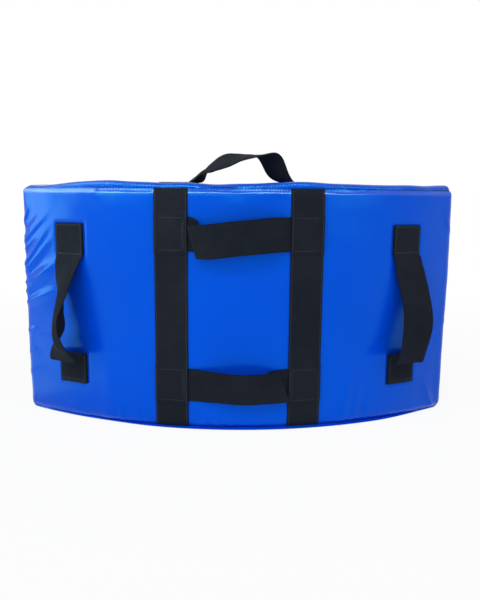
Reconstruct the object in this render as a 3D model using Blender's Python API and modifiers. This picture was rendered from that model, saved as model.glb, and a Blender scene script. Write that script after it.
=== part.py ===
"""Curved tackle shield with webbing handles, built as separate pieces at its real size.

The shield stands on its long edge. The holder's face is convex and looks along -Y, the hit face is
concave and looks along +Y, and X runs along the length. The origin is on the flat underside, at mid
length and mid thickness. Units are metres.
"""

from collections import namedtuple
from math import cos, hypot, pi, radians, sin

import bmesh
import bpy
from mathutils import Matrix, Vector

# Foam body and cover
FACE_RADIUS = 0.616
HALF_SWEEP = radians(34.0)
THICKNESS = 0.120
SEAM_HEIGHT = 0.3575
SKIN = 0.0010
SEAM_GAP = 0.0008
FACE_DRAW = 0.0040
FACE_ROLL = 0.0120
HIT_DRAW = 0.0050
HIT_ROLL = 0.0140
HIT_CROWN = 0.0040
TOP_DRAW = 0.0040
TOP_ROLL = 0.0090
TOP_CROWN = 0.0025
BOTTOM_DRAW = 0.0050
BOTTOM_ROLL = 0.0080
END_DRAW = 0.0050
END_ROLL = 0.0100
IMPACT_THICKNESS = 0.028
FOAM_INSET = 0.0030
FOAM_CLEARANCE = 0.0020
FACE_SPACE = 0.0028
TOP_SPACE = 0.0028
END_SPACE = 0.0035
LAYER_GAP = 0.0003

# Webbing
WEBBING_WIDTH = 0.050
WEBBING_THICKNESS = 0.0018
WEBBING_GAP = 0.0004
WEBBING_LAP = 0.0003
STRAP_SPACING = 0.200
BUMP_MARGIN = 0.0020
BUMP_RAMP = 0.0050
GRIP_TUCK = 0.0435
UPPER_GRIP_HEIGHT = 0.2965
LOWER_GRIP_HEIGHT = 0.0705
GRIP_REACH = 0.0210
GRIP_SAG = 0.0110
GRIP_SWING = radians(18)
GRIP_PLEAT = 0.0120
UPPER_GRIP_LEAN = -16.0
LOWER_GRIP_LEAN = -21.0
HANDLE_SPACING = 0.532
HANDLE_TOP = 0.2590
HANDLE_FOOT = 0.1095
HANDLE_TAB = 0.0505
HANDLE_REACH = 0.0445
HANDLE_BELLY = 0.0070
HANDLE_SWING = radians(20)
SHELF_LAP = 0.0030
CARRY_SPAN = 0.156
CARRY_SHIFT = 0.0030
CARRY_RISE = 0.0475
CARRY_TAB = 0.0420
CARRY_SWING = radians(20)
SWING_CLEARANCE = 0.0020
CUT_GAP = 0.0005

# Backing patches inside the cover
BACKING_THICKNESS = 0.0008
BACKING_GAP = 0.0005
BACKING_MARGIN = 0.0080

# Zip on the right end
ZIP_LENGTH = 0.300
ZIP_SLOT = 0.0120
TAPE_WIDTH = 0.0150
TAPE_THICKNESS = 0.0006
TAPE_SPLIT = 0.0010
TEETH_WIDTH = 0.0060
TEETH_THICKNESS = 0.0024
TEETH_COUNT = 40
TEETH_DEPTH = 0.0008
ZIP_GAP = 0.0003
STOP_LENGTH = 0.0040
SLIDER_LENGTH = 0.0120
SLIDER_WALL = 0.0014
BRIDGE_WIDTH = 0.0020
BRIDGE_WALL = 0.0010
PULL_BAR = 0.0012
PULL_WIDTH = 0.0058
PULL_LENGTH = 0.0240
PULL_PLAY = 0.0005

# Air vents on the left end
VENT_HEIGHTS = {"low": 0.110, "high": 0.262}
VENT_BORE = 0.0025
VENT_WALL = 0.0006
VENT_FLANGE = 0.0062
VENT_FLARE = 0.0044
VENT_GAP = 0.0003
WASHER_THICKNESS = 0.0005
VENT_SIDES = 16

# What follows from the sizes above
AXIS_Y = FACE_RADIUS - THICKNESS / 2
HIT_RADIUS = FACE_RADIUS - THICKNESS
SEAM_NEAR = FACE_RADIUS - FACE_DRAW
SEAM_FAR = HIT_RADIUS + HIT_DRAW
SEAM_MID = (SEAM_NEAR + SEAM_FAR) / 2
SEAM_LOW = BOTTOM_DRAW
SEAM_HIGH = SEAM_LOW + SEAM_HEIGHT
MID_HEIGHT = (SEAM_LOW + SEAM_HIGH) / 2
BED = WEBBING_GAP + WEBBING_THICKNESS / 2
UPPER_BED = BED + WEBBING_THICKNESS + WEBBING_LAP
HALF_WIDTH = WEBBING_WIDTH / 2
STRAP_EDGE = STRAP_SPACING / 2 - HALF_WIDTH
FACE_PARTS = 24
GUSSET_PARTS = 16
FOAM_PARTS = 16
ROUTE_STEP = 0.010

BLUE = (0.000, 0.085, 0.680, 1.0)
LINING_BLUE = (0.000, 0.070, 0.520, 1.0)
WEBBING_BLACK = (0.016, 0.020, 0.027, 1.0)
FOAM_GREY = (0.320, 0.320, 0.310, 1.0)
FOAM_WHITE = (0.720, 0.710, 0.660, 1.0)
ZIP_BLACK = (0.012, 0.012, 0.014, 1.0)
NICKEL = (0.560, 0.550, 0.530, 1.0)

COLLECTION = "tackle_shield"
CUTTERS = "tackle_shield_cutters"

# One row across a webbing strip: where its middle is along the route and above what it is sewn to, how
# far it drifts sideways, and how its width leans outwards (tilt) and along the route (skew), in degrees.
Row = namedtuple("Row", "along out drift tilt skew", defaults=(0.0, 0.0, 0.0))


def clear_scene():
    """Empty the scene and make the collections for the pieces and for the cutters."""
    for item in list(bpy.data.objects):
        bpy.data.objects.remove(item)
    for name in (COLLECTION, CUTTERS):
        group = bpy.data.collections.new(name)
        bpy.context.scene.collection.children.link(group)


def finish(name, color, roughness, metallic=0.0):
    """A plain material for one piece."""
    material = bpy.data.materials.new(name)
    material.use_nodes = True
    shader = material.node_tree.nodes["Principled BSDF"]
    shader.inputs["Base Color"].default_value = color
    shader.inputs["Roughness"].default_value = roughness
    shader.inputs["Metallic"].default_value = metallic
    material.diffuse_color = color
    return material


def add_object(name, mesh, material, collection=COLLECTION):
    """Link a mesh as a piece with its own material, shaded smooth across its soft edges."""
    mesh.materials.clear()
    mesh.materials.append(material)
    mesh.shade_smooth()
    mesh.set_sharp_from_angle(angle=radians(35))
    piece = bpy.data.objects.new(name, mesh)
    bpy.data.collections[collection].objects.link(piece)
    return piece


def mesh_from(bm, name):
    """Turn a bmesh into a mesh."""
    mesh = bpy.data.meshes.new(name)
    bm.to_mesh(mesh)
    bm.free()
    return mesh


def surface(name, columns, rows, place):
    """An open grid whose corners are put in place by a function of column and row."""
    bm = bmesh.new()
    bmesh.ops.create_grid(bm, x_segments=len(columns) - 1, y_segments=len(rows) - 1, size=1.0)
    for corner in bm.verts:
        column = columns[round((corner.co.x + 1) / 2 * (len(columns) - 1))]
        row = rows[round((corner.co.y + 1) / 2 * (len(rows) - 1))]
        corner.co = place(column, row)
    return mesh_from(bm, name)


def thicken(piece, thickness, offset):
    """Give an open surface its wall."""
    wall = piece.modifiers.new("wall", "SOLIDIFY")
    wall.thickness = thickness
    wall.offset = offset
    wall.use_even_offset = True
    wall.use_quality_normals = True
    return piece


def evaluated_mesh(piece):
    """The mesh of a piece with its modifiers applied."""
    bpy.context.view_layer.update()
    graph = bpy.context.evaluated_depsgraph_get()
    return bpy.data.meshes.new_from_object(piece.evaluated_get(graph))


def box_mesh(name, low, high):
    """A box between two corners."""
    bm = bmesh.new()
    bmesh.ops.create_cube(bm, size=1.0)
    size = Vector(high) - Vector(low)
    bmesh.ops.scale(bm, vec=size, verts=bm.verts)
    bmesh.ops.translate(bm, vec=(Vector(high) + Vector(low)) / 2, verts=bm.verts)
    return mesh_from(bm, name)


def cut(piece, cutter, operation="DIFFERENCE"):
    """Cut a piece with a cutter, or join the cutter to it."""
    cutter.hide_render = True
    cutter.display_type = "WIRE"
    boolean = piece.modifiers.new(cutter.name, "BOOLEAN")
    boolean.operation = operation
    boolean.object = cutter
    boolean.solver = "EXACT"


def roll(distance, width):
    """How far a panel is drawn in near a seam: 1 at the seam, falling to 0 over the roll's width."""
    return max(0.0, 1.0 - distance / width) ** 2


def drawn(first, second):
    """Two rolls that meet at a corner, along a mitre."""
    return max(first, second)


def stations(low, high, width, parts):
    """Values from one seam to the other, close together over the rolls."""
    rolls = [width * share for share in (0.0, 0.3, 0.6)]
    inner = [low + width + (high - low - 2 * width) * i / parts for i in range(parts + 1)]
    return [low + step for step in rolls] + inner + [high - step for step in reversed(rolls)]


def on_arc(angle, radius, height):
    """A point at an angle from the middle, about the upright axis that the shield curves round."""
    return Vector((radius * sin(angle), AXIS_Y - radius * cos(angle), height))


def end_rolls(angle, radius, width):
    """The roll towards the nearer end seam."""
    return roll((HALF_SWEEP - abs(angle)) * radius, width)


def height_rolls(height, width):
    """The roll towards the nearer of the top and bottom seams."""
    return roll(min(height - SEAM_LOW, SEAM_HIGH - height), width)


def depth_rolls(radius, width):
    """The roll towards the nearer of the two faces' seams."""
    return roll(min(radius - SEAM_FAR, SEAM_NEAR - radius), width)


def face_radius(angle, height):
    """Radius of the holder's face."""
    edge = drawn(end_rolls(angle, FACE_RADIUS, FACE_ROLL), height_rolls(height, FACE_ROLL))
    return FACE_RADIUS - FACE_DRAW * edge


def hit_radius(angle, height):
    """Radius of the hit face, which swells a little in the middle."""
    edge = drawn(end_rolls(angle, HIT_RADIUS, HIT_ROLL), height_rolls(height, HIT_ROLL))
    across = (height - MID_HEIGHT) / (SEAM_HEIGHT / 2)
    swell = (1.0 - (angle / HALF_SWEEP) ** 2) * (1.0 - across ** 2)
    return HIT_RADIUS + HIT_DRAW * edge - HIT_CROWN * max(0.0, swell)


def top_height(angle, radius):
    """Height of the top gusset, crowned across its width."""
    edge = drawn(end_rolls(angle, SEAM_MID, TOP_ROLL), depth_rolls(radius, TOP_ROLL))
    across = (radius - SEAM_MID) / ((SEAM_NEAR - SEAM_FAR) / 2)
    end = 1.0 - end_rolls(angle, SEAM_MID, TOP_ROLL)
    return SEAM_HIGH + TOP_DRAW * (1.0 - edge) + TOP_CROWN * max(0.0, 1.0 - across ** 2) * end


def bottom_height(angle, radius):
    """Height of the bottom gusset, flat where the shield stands on it."""
    edge = drawn(end_rolls(angle, SEAM_MID, BOTTOM_ROLL), depth_rolls(radius, BOTTOM_ROLL))
    return SEAM_LOW - BOTTOM_DRAW * (1.0 - edge)


def end_out(radius, height):
    """How far an end panel stands out from the plane of its seams."""
    edge = drawn(depth_rolls(radius, END_ROLL), height_rolls(height, END_ROLL))
    return END_DRAW * (1.0 - edge)


def end_point(side, radius, height, out):
    """A point on or over an end: side is -1 for the left end and 1 for the right."""
    tangent = Vector((side * cos(HALF_SWEEP), sin(HALF_SWEEP), 0.0))
    return on_arc(side * HALF_SWEEP, radius, height) + tangent * out


def angles(radius, width, parts):
    """Angles from end seam to end seam."""
    reach = HALF_SWEEP * radius - SEAM_GAP / 2
    return [length / radius for length in stations(-reach, reach, width, parts)]


def heights(width, parts):
    """Heights from the bottom seam to the top seam."""
    return stations(SEAM_LOW + SEAM_GAP / 2, SEAM_HIGH - SEAM_GAP / 2, width, parts)


def depths(width, parts):
    """Radii from the hit face's seam to the holder's face's seam."""
    return stations(SEAM_FAR + SEAM_GAP / 2, SEAM_NEAR - SEAM_GAP / 2, width, parts)


def build_panels():
    """The six coated fabric panels of the cover."""
    sets = {
        "back_panel": (
            angles(FACE_RADIUS, FACE_ROLL, FACE_PARTS),
            heights(FACE_ROLL, 4),
            lambda angle, height: on_arc(angle, face_radius(angle, height), height),
            -1.0,
        ),
        "hit_panel": (
            angles(HIT_RADIUS, HIT_ROLL, GUSSET_PARTS),
            heights(HIT_ROLL, 6),
            lambda angle, height: on_arc(angle, hit_radius(angle, height), height),
            1.0,
        ),
        "top_gusset": (
            angles(SEAM_MID, TOP_ROLL, GUSSET_PARTS),
            depths(TOP_ROLL, 4),
            lambda angle, radius: on_arc(angle, radius, top_height(angle, radius)),
            1.0,
        ),
        "bottom_gusset": (
            angles(SEAM_MID, BOTTOM_ROLL, GUSSET_PARTS),
            depths(BOTTOM_ROLL, 2),
            lambda angle, radius: on_arc(angle, radius, bottom_height(angle, radius)),
            -1.0,
        ),
    }
    for name, (columns, rows, place, offset) in sets.items():
        mesh = surface(name, columns, rows, place)
        piece = add_object(name, mesh, finish(name, BLUE, 0.32))
        thicken(piece, SKIN, offset)
    for name, side in (("left_end_panel", -1), ("right_end_panel", 1)):
        mesh = surface(
            name,
            depths(END_ROLL, 2),
            heights(END_ROLL, 3),
            lambda radius, height: end_point(side, radius, height, end_out(radius, height)),
        )
        piece = add_object(name, mesh, finish(name, BLUE, 0.32))
        thicken(piece, SKIN, float(side))


def block(name, splits, place):
    """A closed box cut across at the given shares of its three sides, then put in place by a function."""
    bm = bmesh.new()
    bmesh.ops.create_cube(bm, size=1.0)
    bmesh.ops.translate(bm, vec=(0.5, 0.5, 0.5), verts=bm.verts)
    for axis, shares in enumerate(splits):
        normal = Vector((0.0, 0.0, 0.0))
        normal[axis] = 1.0
        for share in shares:
            everything = bm.verts[:] + bm.edges[:] + bm.faces[:]
            bmesh.ops.bisect_plane(bm, geom=everything, plane_co=normal * share, plane_no=normal)
    for corner in bm.verts:
        corner.co = place(*corner.co)
    bm.normal_update()
    bmesh.ops.recalc_face_normals(bm, faces=bm.faces)
    return mesh_from(bm, name)


def shares(length, width, parts):
    """Where a block's side is cut across, as shares of its length."""
    values = stations(0.0, length, width, parts)
    return [value / length for value in values[1:-1]]


def build_foam():
    """The firm foam core on the holder's side and the softer impact layer at the hit face."""
    low = SEAM_LOW + FOAM_INSET
    high = SEAM_HIGH - FOAM_INSET
    near = SEAM_NEAR - FOAM_INSET
    far = SEAM_FAR + FOAM_INSET
    split = HIT_RADIUS + IMPACT_THICKNESS
    sweep = HALF_SWEEP - FOAM_INSET / SEAM_FAR
    length = 2 * sweep * SEAM_MID
    foams = (
        ("foam_core", split + LAYER_GAP / 2, near, FOAM_GREY),
        ("impact_layer", far, split - LAYER_GAP / 2, FOAM_WHITE),
    )

    def place(along, across, up, inner, outer):
        """A foam corner: the block's faces swell towards the panels, and its edges stay in."""
        angle = (2 * along - 1) * sweep
        radius = inner + (outer - inner) * across
        end = roll(min(along, 1 - along) * length, END_ROLL)
        rise = roll(min(up, 1 - up) * (high - low), FACE_ROLL)
        depth = roll(min(radius - far, near - radius), TOP_ROLL)
        face = (FACE_DRAW + FOAM_INSET - FACE_SPACE) * (1 - drawn(end, rise))
        middle = max(0.0, (1 - (2 * along - 1) ** 2) * (1 - (2 * up - 1) ** 2))
        hit = (HIT_DRAW + FOAM_INSET - FOAM_CLEARANCE + HIT_CROWN * middle) * (1 - drawn(end, rise))
        arch = max(0.0, 1 - ((radius - SEAM_MID) / ((near - far) / 2)) ** 2)
        top = (TOP_DRAW + FOAM_INSET - TOP_SPACE + TOP_CROWN * arch) * (1 - drawn(end, depth))
        bottom = (BOTTOM_DRAW + FOAM_INSET - FOAM_CLEARANCE) * (1 - drawn(end, depth))
        reach = (END_DRAW + FOAM_INSET - END_SPACE) * (1 - drawn(depth, rise))
        height = low + (high - low) * up + top * max(0.0, 2 * up - 1) - bottom * max(0.0, 1 - 2 * up)
        if outer == near:
            radius += face * across
        else:
            radius -= hit * (1 - across)
        angle += (2 * along - 1) * reach / radius
        return on_arc(angle, radius, height)

    for name, inner, outer, color in foams:
        splits = (
            shares(length, END_ROLL, FOAM_PARTS),
            shares(outer - inner, min(TOP_ROLL, (outer - inner) / 3), 2),
            shares(high - low, FACE_ROLL, 2),
        )
        mesh = block(name, splits, lambda a, b, c: place(a, b, c, inner, outer))
        add_object(name, mesh, finish(name, color, 0.95))


def face_bed(centre):
    """Upright webbing on the holder's face: along is the height, across runs to the right."""

    def point(along, across, out):
        radius = FACE_RADIUS + out
        return on_arc(centre / FACE_RADIUS + across / radius, radius, along)

    return point


def level_bed(height):
    """Level webbing on the holder's face: along runs to the right, across is upwards."""

    def point(along, across, out):
        return on_arc(along / FACE_RADIUS, FACE_RADIUS + out, height + across)

    return point


def top_bed(along, across, out):
    """Webbing on the top gusset: along runs to the right, across runs away from the holder."""
    radius = SEAM_MID - across
    angle = along / SEAM_MID
    return on_arc(angle, radius, top_height(angle, radius) + out)


def strip(name, rows, bed, columns=2):
    """A webbing strip through rows, as a closed solid of the webbing's thickness."""
    sides = [2 * i / columns - 1 for i in range(columns + 1)]

    def place(side, row):
        reach = side * HALF_WIDTH
        tilt = radians(row.tilt)
        skew = radians(row.skew)
        along = row.along + reach * cos(tilt) * sin(skew)
        across = row.drift + reach * cos(tilt) * cos(skew)
        return bed(along, across, row.out + reach * sin(tilt))

    mesh = surface(name, sides, rows, place)
    return thicken(add_object(name, mesh, finish(name, WEBBING_BLACK, 0.85)), WEBBING_THICKNESS, 0.0)


def trim(piece, point, normal):
    """Cut a piece off square at a plane, on the side that the normal points to, and close it."""
    mesh = evaluated_mesh(piece)
    bm = bmesh.new()
    bm.from_mesh(mesh)
    everything = bm.verts[:] + bm.edges[:] + bm.faces[:]
    cuts = bmesh.ops.bisect_plane(
        bm, geom=everything, plane_co=point, plane_no=normal, clear_outer=True
    )
    rim = [item for item in cuts["geom_cut"] if isinstance(item, bmesh.types.BMEdge)]
    bmesh.ops.holes_fill(bm, edges=[edge for edge in rim if edge.is_boundary], sides=0)
    bm.to_mesh(mesh)
    bm.free()
    piece.modifiers.clear()
    piece.data = mesh


def smooth(rows, step):
    """More rows along a smooth curve through the given ones."""
    made = [rows[0]]
    for i in range(len(rows) - 1):
        before = rows[max(0, i - 1)]
        start, end = rows[i], rows[i + 1]
        after = rows[min(len(rows) - 1, i + 2)]
        length = hypot(end.along - start.along, end.out - start.out)
        count = max(1, round(length / step))
        for k in range(1, count + 1):
            t = k / count
            values = []
            for a, b, c, d in zip(before, start, end, after):
                bend = (2 * a - 5 * b + 4 * c - d) * t * t + (3 * b - a - 3 * c + d) * t ** 3
                values.append((2 * b + (c - a) * t + bend) / 2)
            made.append(Row(*values))
    return made


def tab_rows(start, end):
    """A webbing end turned under itself: from its hidden end, round the fold, back over to the start."""
    way = 1.0 if end > start else -1.0
    bend = (UPPER_BED - BED) / 2
    turn = end - way * (bend + WEBBING_THICKNESS / 2)
    fold = [
        Row(turn + way * bend * sin(pi * k / 4), BED + bend * (1 - cos(pi * k / 4)))
        for k in range(5)
    ]
    return [Row(start + way * WEBBING_LAP, BED)] + fold + [Row(start, UPPER_BED)]


def clears(row, swing):
    """Whether a row stays clear of what it is sewn to over the whole swing."""
    need = SWING_CLEARANCE + WEBBING_THICKNESS / 2
    tilt = radians(row.tilt)
    for side in (-1, 1):
        out = row.out + side * HALF_WIDTH * sin(tilt)
        across = HALF_WIDTH * cos(tilt)
        if out * cos(swing) - across * sin(swing) < need:
            return False
    return True


def edges_along(row):
    """Where the two edges of a skewed row are along the route."""
    shift = HALF_WIDTH * cos(radians(row.tilt)) * sin(radians(row.skew))
    return row.along - shift, row.along + shift


def build_straps():
    """The two upright straps, sewn into the seams and over the grips' tucked ends."""
    tucks = (LOWER_GRIP_HEIGHT, UPPER_GRIP_HEIGHT)
    rise = WEBBING_THICKNESS + WEBBING_LAP
    flat = HALF_WIDTH + BUMP_MARGIN
    values = set(stations(SEAM_LOW + SEAM_GAP, SEAM_HIGH - SEAM_GAP, FACE_ROLL, 4))
    for tuck in tucks:
        values -= {v for v in values if abs(v - tuck) < flat + BUMP_RAMP}
        for way in (-1, 1):
            values |= {tuck + way * flat, tuck + way * (flat + BUMP_RAMP)}
    rows = []
    for height in sorted(values):
        distance = min(height - SEAM_LOW, SEAM_HIGH - height)
        slope = 2 * FACE_DRAW / FACE_ROLL * max(0.0, 1 - distance / FACE_ROLL)
        out = BED * hypot(1.0, slope) - FACE_DRAW * roll(distance, FACE_ROLL)
        over = max(min(1.0, (flat + BUMP_RAMP - abs(height - tuck)) / BUMP_RAMP) for tuck in tucks)
        rows.append(Row(height, out + rise * max(0.0, over)))
    for name, side in (("left_strap", -1), ("right_strap", 1)):
        strip(name, rows, face_bed(side * STRAP_SPACING / 2))


def build_grip(name, height, rows, cuts):
    """A level grip whose ends are tucked under the straps: two fixed ends and the stretch that swings."""
    bed = level_bed(height)
    left_end = strip(name + "_left_end", rows, bed)
    loop = strip(name, rows, bed)
    right_end = strip(name + "_right_end", rows, bed)
    right = Vector((1.0, 0.0, 0.0))
    low, high = (bed(along, 0.0, 0.0) for along in cuts)
    step = right * CUT_GAP / 2
    trim(left_end, low - step, right)
    trim(loop, low + step, -right)
    trim(loop, high - step, right)
    trim(right_end, high + step, -right)


def build_grips():
    """The upper grip, pleated at its left end, and the lower grip, pleated at its right end."""
    tuck = STRAP_EDGE + GRIP_TUCK
    back = WEBBING_THICKNESS + 2 * WEBBING_GAP
    turn = back / 2
    first = BED + back + WEBBING_GAP
    second = first + turn * 2
    third = second + turn * 2 + WEBBING_GAP
    pleat = STRAP_EDGE - WEBBING_THICKNESS * 4.3
    inner = pleat - GRIP_PLEAT

    def pleated(side, sag, lean):
        """From the tuck under the strap on one side to the front layer, through a slanting double fold."""
        return [
            Row(side * tuck, BED),
            Row(side * (STRAP_EDGE - WEBBING_THICKNESS / 2), BED),
            Row(side * (inner + WEBBING_THICKNESS * 3), first - WEBBING_GAP, -sag * 0.15, 0, lean * 0.7),
            Row(side * inner, first, -sag * 0.3, 0, lean),
            Row(side * (inner - turn), first + turn, -sag * 0.4, 0, lean),
            Row(side * inner, second, -sag * 0.5, 0, lean),
            Row(side * (pleat - turn), third - WEBBING_GAP - turn, -sag * 0.9, 0, lean),
            Row(side * pleat, third, -sag, 0, lean),
            Row(side * (pleat - turn), third + turn, -sag, 0, lean),
        ]

    def front(side, sag, shares_out):
        """Across the front, from the pleat to the plain end on the other side."""
        rows = []
        for share, out, drop, skew in shares_out:
            rows.append(Row(side * share * STRAP_EDGE, out * GRIP_REACH, -sag * drop, 0, skew))
        plain = side * (STRAP_EDGE - WEBBING_THICKNESS / 2)
        return rows + [Row(-plain, BED), Row(-side * tuck, BED)]

    upper = pleated(-1, GRIP_SAG, UPPER_GRIP_LEAN) + front(
        -1,
        GRIP_SAG,
        (
            (0.62, 0.84, 0.95, -11.0),
            (0.36, 0.97, 0.72, -4.0),
            (0.00, 1.00, 0.42, 0.0),
            (-0.36, 0.93, 0.18, 0.0),
            (-0.64, 0.70, 0.02, 0.0),
            (-0.84, 0.36, 0.0, 0.0),
        ),
    )
    lower = pleated(1, 0.0, LOWER_GRIP_LEAN) + front(
        1,
        0.0,
        (
            (0.62, 0.84, 0.0, -11.0),
            (0.42, 0.97, 0.0, -4.0),
            (0.18, 1.10, 0.0, 0.0),
            (-0.08, 0.98, 0.0, 0.0),
            (-0.34, 0.70, 0.0, 0.0),
            (-0.60, 0.36, 0.0, 0.0),
        ),
    )
    for name, height, rows, side, lean in (
        ("upper_grip", UPPER_GRIP_HEIGHT, upper, -1, UPPER_GRIP_LEAN),
        ("lower_grip", LOWER_GRIP_HEIGHT, lower, 1, LOWER_GRIP_LEAN),
    ):
        low = inner - 2 * turn - HALF_WIDTH * sin(radians(abs(lean)))
        full = rows[:1] + smooth(rows[1:-1], ROUTE_STEP) + rows[-1:]
        free = [row for row in full if clears(row, GRIP_SWING) and -side * row.along > -low]
        far = max(-side * row.along for row in free)
        cuts = sorted((side * low, -side * far))
        build_grip(name, height, full, cuts)


def build_side_handle(name, side, shape):
    """An upright handle: an upper tab, a lower tab with a short shelf, and the hanging loop between."""
    bed = face_bed(side * HANDLE_SPACING / 2)
    drop = HANDLE_TOP - HANDLE_FOOT
    shelf = HANDLE_FOOT - WEBBING_THICKNESS - WEBBING_LAP
    lift = (HALF_WIDTH * sin(HANDLE_SWING) + SWING_CLEARANCE + WEBBING_THICKNESS) / cos(HANDLE_SWING)
    rows = tab_rows(HANDLE_TOP, HANDLE_TOP + HANDLE_TAB)
    for share, out, drift, tilt in shape:
        rows.append(Row(HANDLE_TOP - share * drop, out * HANDLE_REACH, drift * HANDLE_REACH, tilt))
    rows.append(Row(shelf - HANDLE_BELLY * 0.2, lift + HANDLE_REACH * 0.22, rows[-1].drift * 0.5))
    rows.append(Row(shelf, lift + SHELF_LAP))
    rows.append(Row(shelf, lift))
    start = len(tab_rows(HANDLE_TOP, HANDLE_TOP + HANDLE_TAB))
    full = rows[:start - 1] + smooth(rows[start - 1:], ROUTE_STEP)
    free = [row for row in full[start:] if clears(row, HANDLE_SWING)]
    cut_height = max(row.along for row in free)
    up = Vector((0.0, 0.0, 1.0))
    step = up * CUT_GAP / 2
    cut_point = bed(cut_height, 0.0, 0.0)
    upper = [row for row in full if row.along > cut_height - ROUTE_STEP * 2.5]
    upper_end = strip(name + "_upper_end", upper, bed)
    trim(upper_end, cut_point + step, -up)
    loop = strip(name, full[start - 1:], bed)
    trim(loop, cut_point - step, up)
    lower = [Row(HANDLE_FOOT, lift + SHELF_LAP), Row(HANDLE_FOOT, UPPER_BED + WEBBING_THICKNESS * 1.5)]
    corner = HANDLE_FOOT - WEBBING_THICKNESS * 1.5
    lower += [Row(HANDLE_FOOT - WEBBING_THICKNESS * 0.4, UPPER_BED + WEBBING_THICKNESS * 0.4)]
    lower += list(reversed(tab_rows(corner, HANDLE_FOOT - HANDLE_TAB)))
    strip(name + "_lower_end", lower, bed)


def build_side_handles():
    """The right handle hangs nearly square to the face; the left one is swung over and twisted."""
    right_shape = (
        (0.030, 0.12, 0.03, 2.0),
        (0.090, 0.19, 0.08, 7.0),
        (0.240, 0.33, 0.13, 10.0),
        (0.390, 0.50, 0.14, 9.0),
        (0.520, 0.68, 0.11, 8.0),
        (0.660, 0.84, 0.03, 8.0),
        (0.810, 0.95, -0.11, 5.0),
        (0.920, 1.00, -0.22, 2.0),
        (1.010, 0.98, -0.27, 2.0),
        (1.048, 0.86, -0.28, 2.0),
    )
    left_shape = (
        (0.030, 0.12, -0.03, 4.0),
        (0.090, 0.19, -0.06, 9.0),
        (0.200, 0.34, -0.05, 18.0),
        (0.320, 0.52, 0.00, 28.0),
        (0.420, 0.61, 0.06, 40.0),
        (0.500, 0.68, 0.10, 52.0),
        (0.580, 0.73, 0.08, 60.0),
        (0.660, 0.79, 0.12, 63.0),
        (0.740, 0.84, 0.16, 60.0),
        (0.820, 0.88, 0.17, 48.0),
        (0.890, 0.91, 0.12, 31.0),
        (0.960, 0.93, 0.18, 16.0),
        (1.010, 0.92, 0.23, 6.0),
        (1.045, 0.82, 0.22, 3.0),
    )
    build_side_handle("right_handle", 1, right_shape)
    build_side_handle("left_handle", -1, left_shape)


def build_carry_handle():
    """The carry handle on the top gusset, leaning towards the holder on its left and turned on its right."""
    half = CARRY_SPAN / 2
    left = CARRY_SHIFT - half
    right = CARRY_SHIFT + half
    shape = (
        (-0.90, 0.08, 1.0, 12.0),
        (-0.82, 0.13, 2.0, 10.0),
        (-0.75, 0.27, 5.0, 5.0),
        (-0.68, 0.45, 14.0, 0.0),
        (-0.58, 0.55, 20.0, 0.0),
        (-0.48, 0.63, 25.0, 0.0),
        (-0.36, 0.72, 27.0, 0.0),
        (-0.23, 0.77, 25.0, 0.0),
        (-0.12, 0.81, 20.0, 0.0),
        (0.02, 0.86, 14.0, 0.0),
        (0.16, 0.89, 10.0, -3.0),
        (0.32, 0.92, 4.0, -9.0),
        (0.46, 0.91, -6.0, -19.0),
        (0.54, 0.83, -12.0, -24.0),
        (0.61, 0.68, -15.0, -27.0),
        (0.66, 0.52, -11.0, -28.0),
        (0.73, 0.31, -3.0, -27.0),
        (0.83, 0.16, 0.0, -20.0),
    )
    tab = tab_rows(left, left - CARRY_TAB)
    rows = list(tab)
    for share, out, tilt, skew in shape:
        rows.append(Row(CARRY_SHIFT + share * half, out * CARRY_RISE, 0.0, tilt, skew))
    far_tab = list(reversed(tab_rows(right, right + CARRY_TAB)))
    rows.append(far_tab[0])
    middle = smooth(rows[len(tab) - 1:], ROUTE_STEP)
    full = rows[:len(tab) - 1] + middle + far_tab[1:]
    held = [row for row in middle if not clears(row, CARRY_SWING)]
    across = Vector((1.0, 0.0, 0.0))
    step = across * CUT_GAP / 2
    first = max(max(edges_along(row)) for row in held if row.along < CARRY_SHIFT)
    last = min(min(edges_along(row)) for row in held if row.along > CARRY_SHIFT)
    low = top_bed(first + ROUTE_STEP / 2, 0.0, 0.0)
    high = top_bed(last - ROUTE_STEP / 2, 0.0, 0.0)
    left_end = strip("carry_handle_left_end", full, top_bed)
    loop = strip("carry_handle", full, top_bed)
    right_end = strip("carry_handle_right_end", full, top_bed)
    trim(left_end, low - step, across)
    trim(loop, low + step, -across)
    trim(loop, high - step, across)
    trim(right_end, high + step, -across)


def build_backings():
    """Patches inside the cover, behind the side handles and under the carry handle."""
    sink = -(SKIN + BACKING_GAP)
    half = HALF_WIDTH + BACKING_MARGIN
    low = HANDLE_FOOT - HANDLE_TAB - BACKING_MARGIN
    high = HANDLE_TOP + HANDLE_TAB + BACKING_MARGIN
    for name, side in (("left_backing", -1), ("right_backing", 1)):
        bed = face_bed(side * HANDLE_SPACING / 2)
        columns = [-half, -half / 2, 0.0, half / 2, half]
        mesh = surface(name, columns, [low, high], lambda across, along: bed(along, across, sink))
        piece = add_object(name, mesh, finish(name, LINING_BLUE, 0.8))
        thicken(piece, BACKING_THICKNESS, -1.0)
    reach = CARRY_SPAN / 2 + CARRY_TAB + BACKING_MARGIN
    columns = [CARRY_SHIFT + reach * (i / 4 - 1) for i in range(9)]
    rows = [-half, -half / 2, 0.0, half / 2, half]
    mesh = surface("top_backing", columns, rows, lambda along, across: top_bed(along, across, sink))
    piece = add_object("top_backing", mesh, finish("top_backing", LINING_BLUE, 0.8))
    thicken(piece, BACKING_THICKNESS, -1.0)


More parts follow.
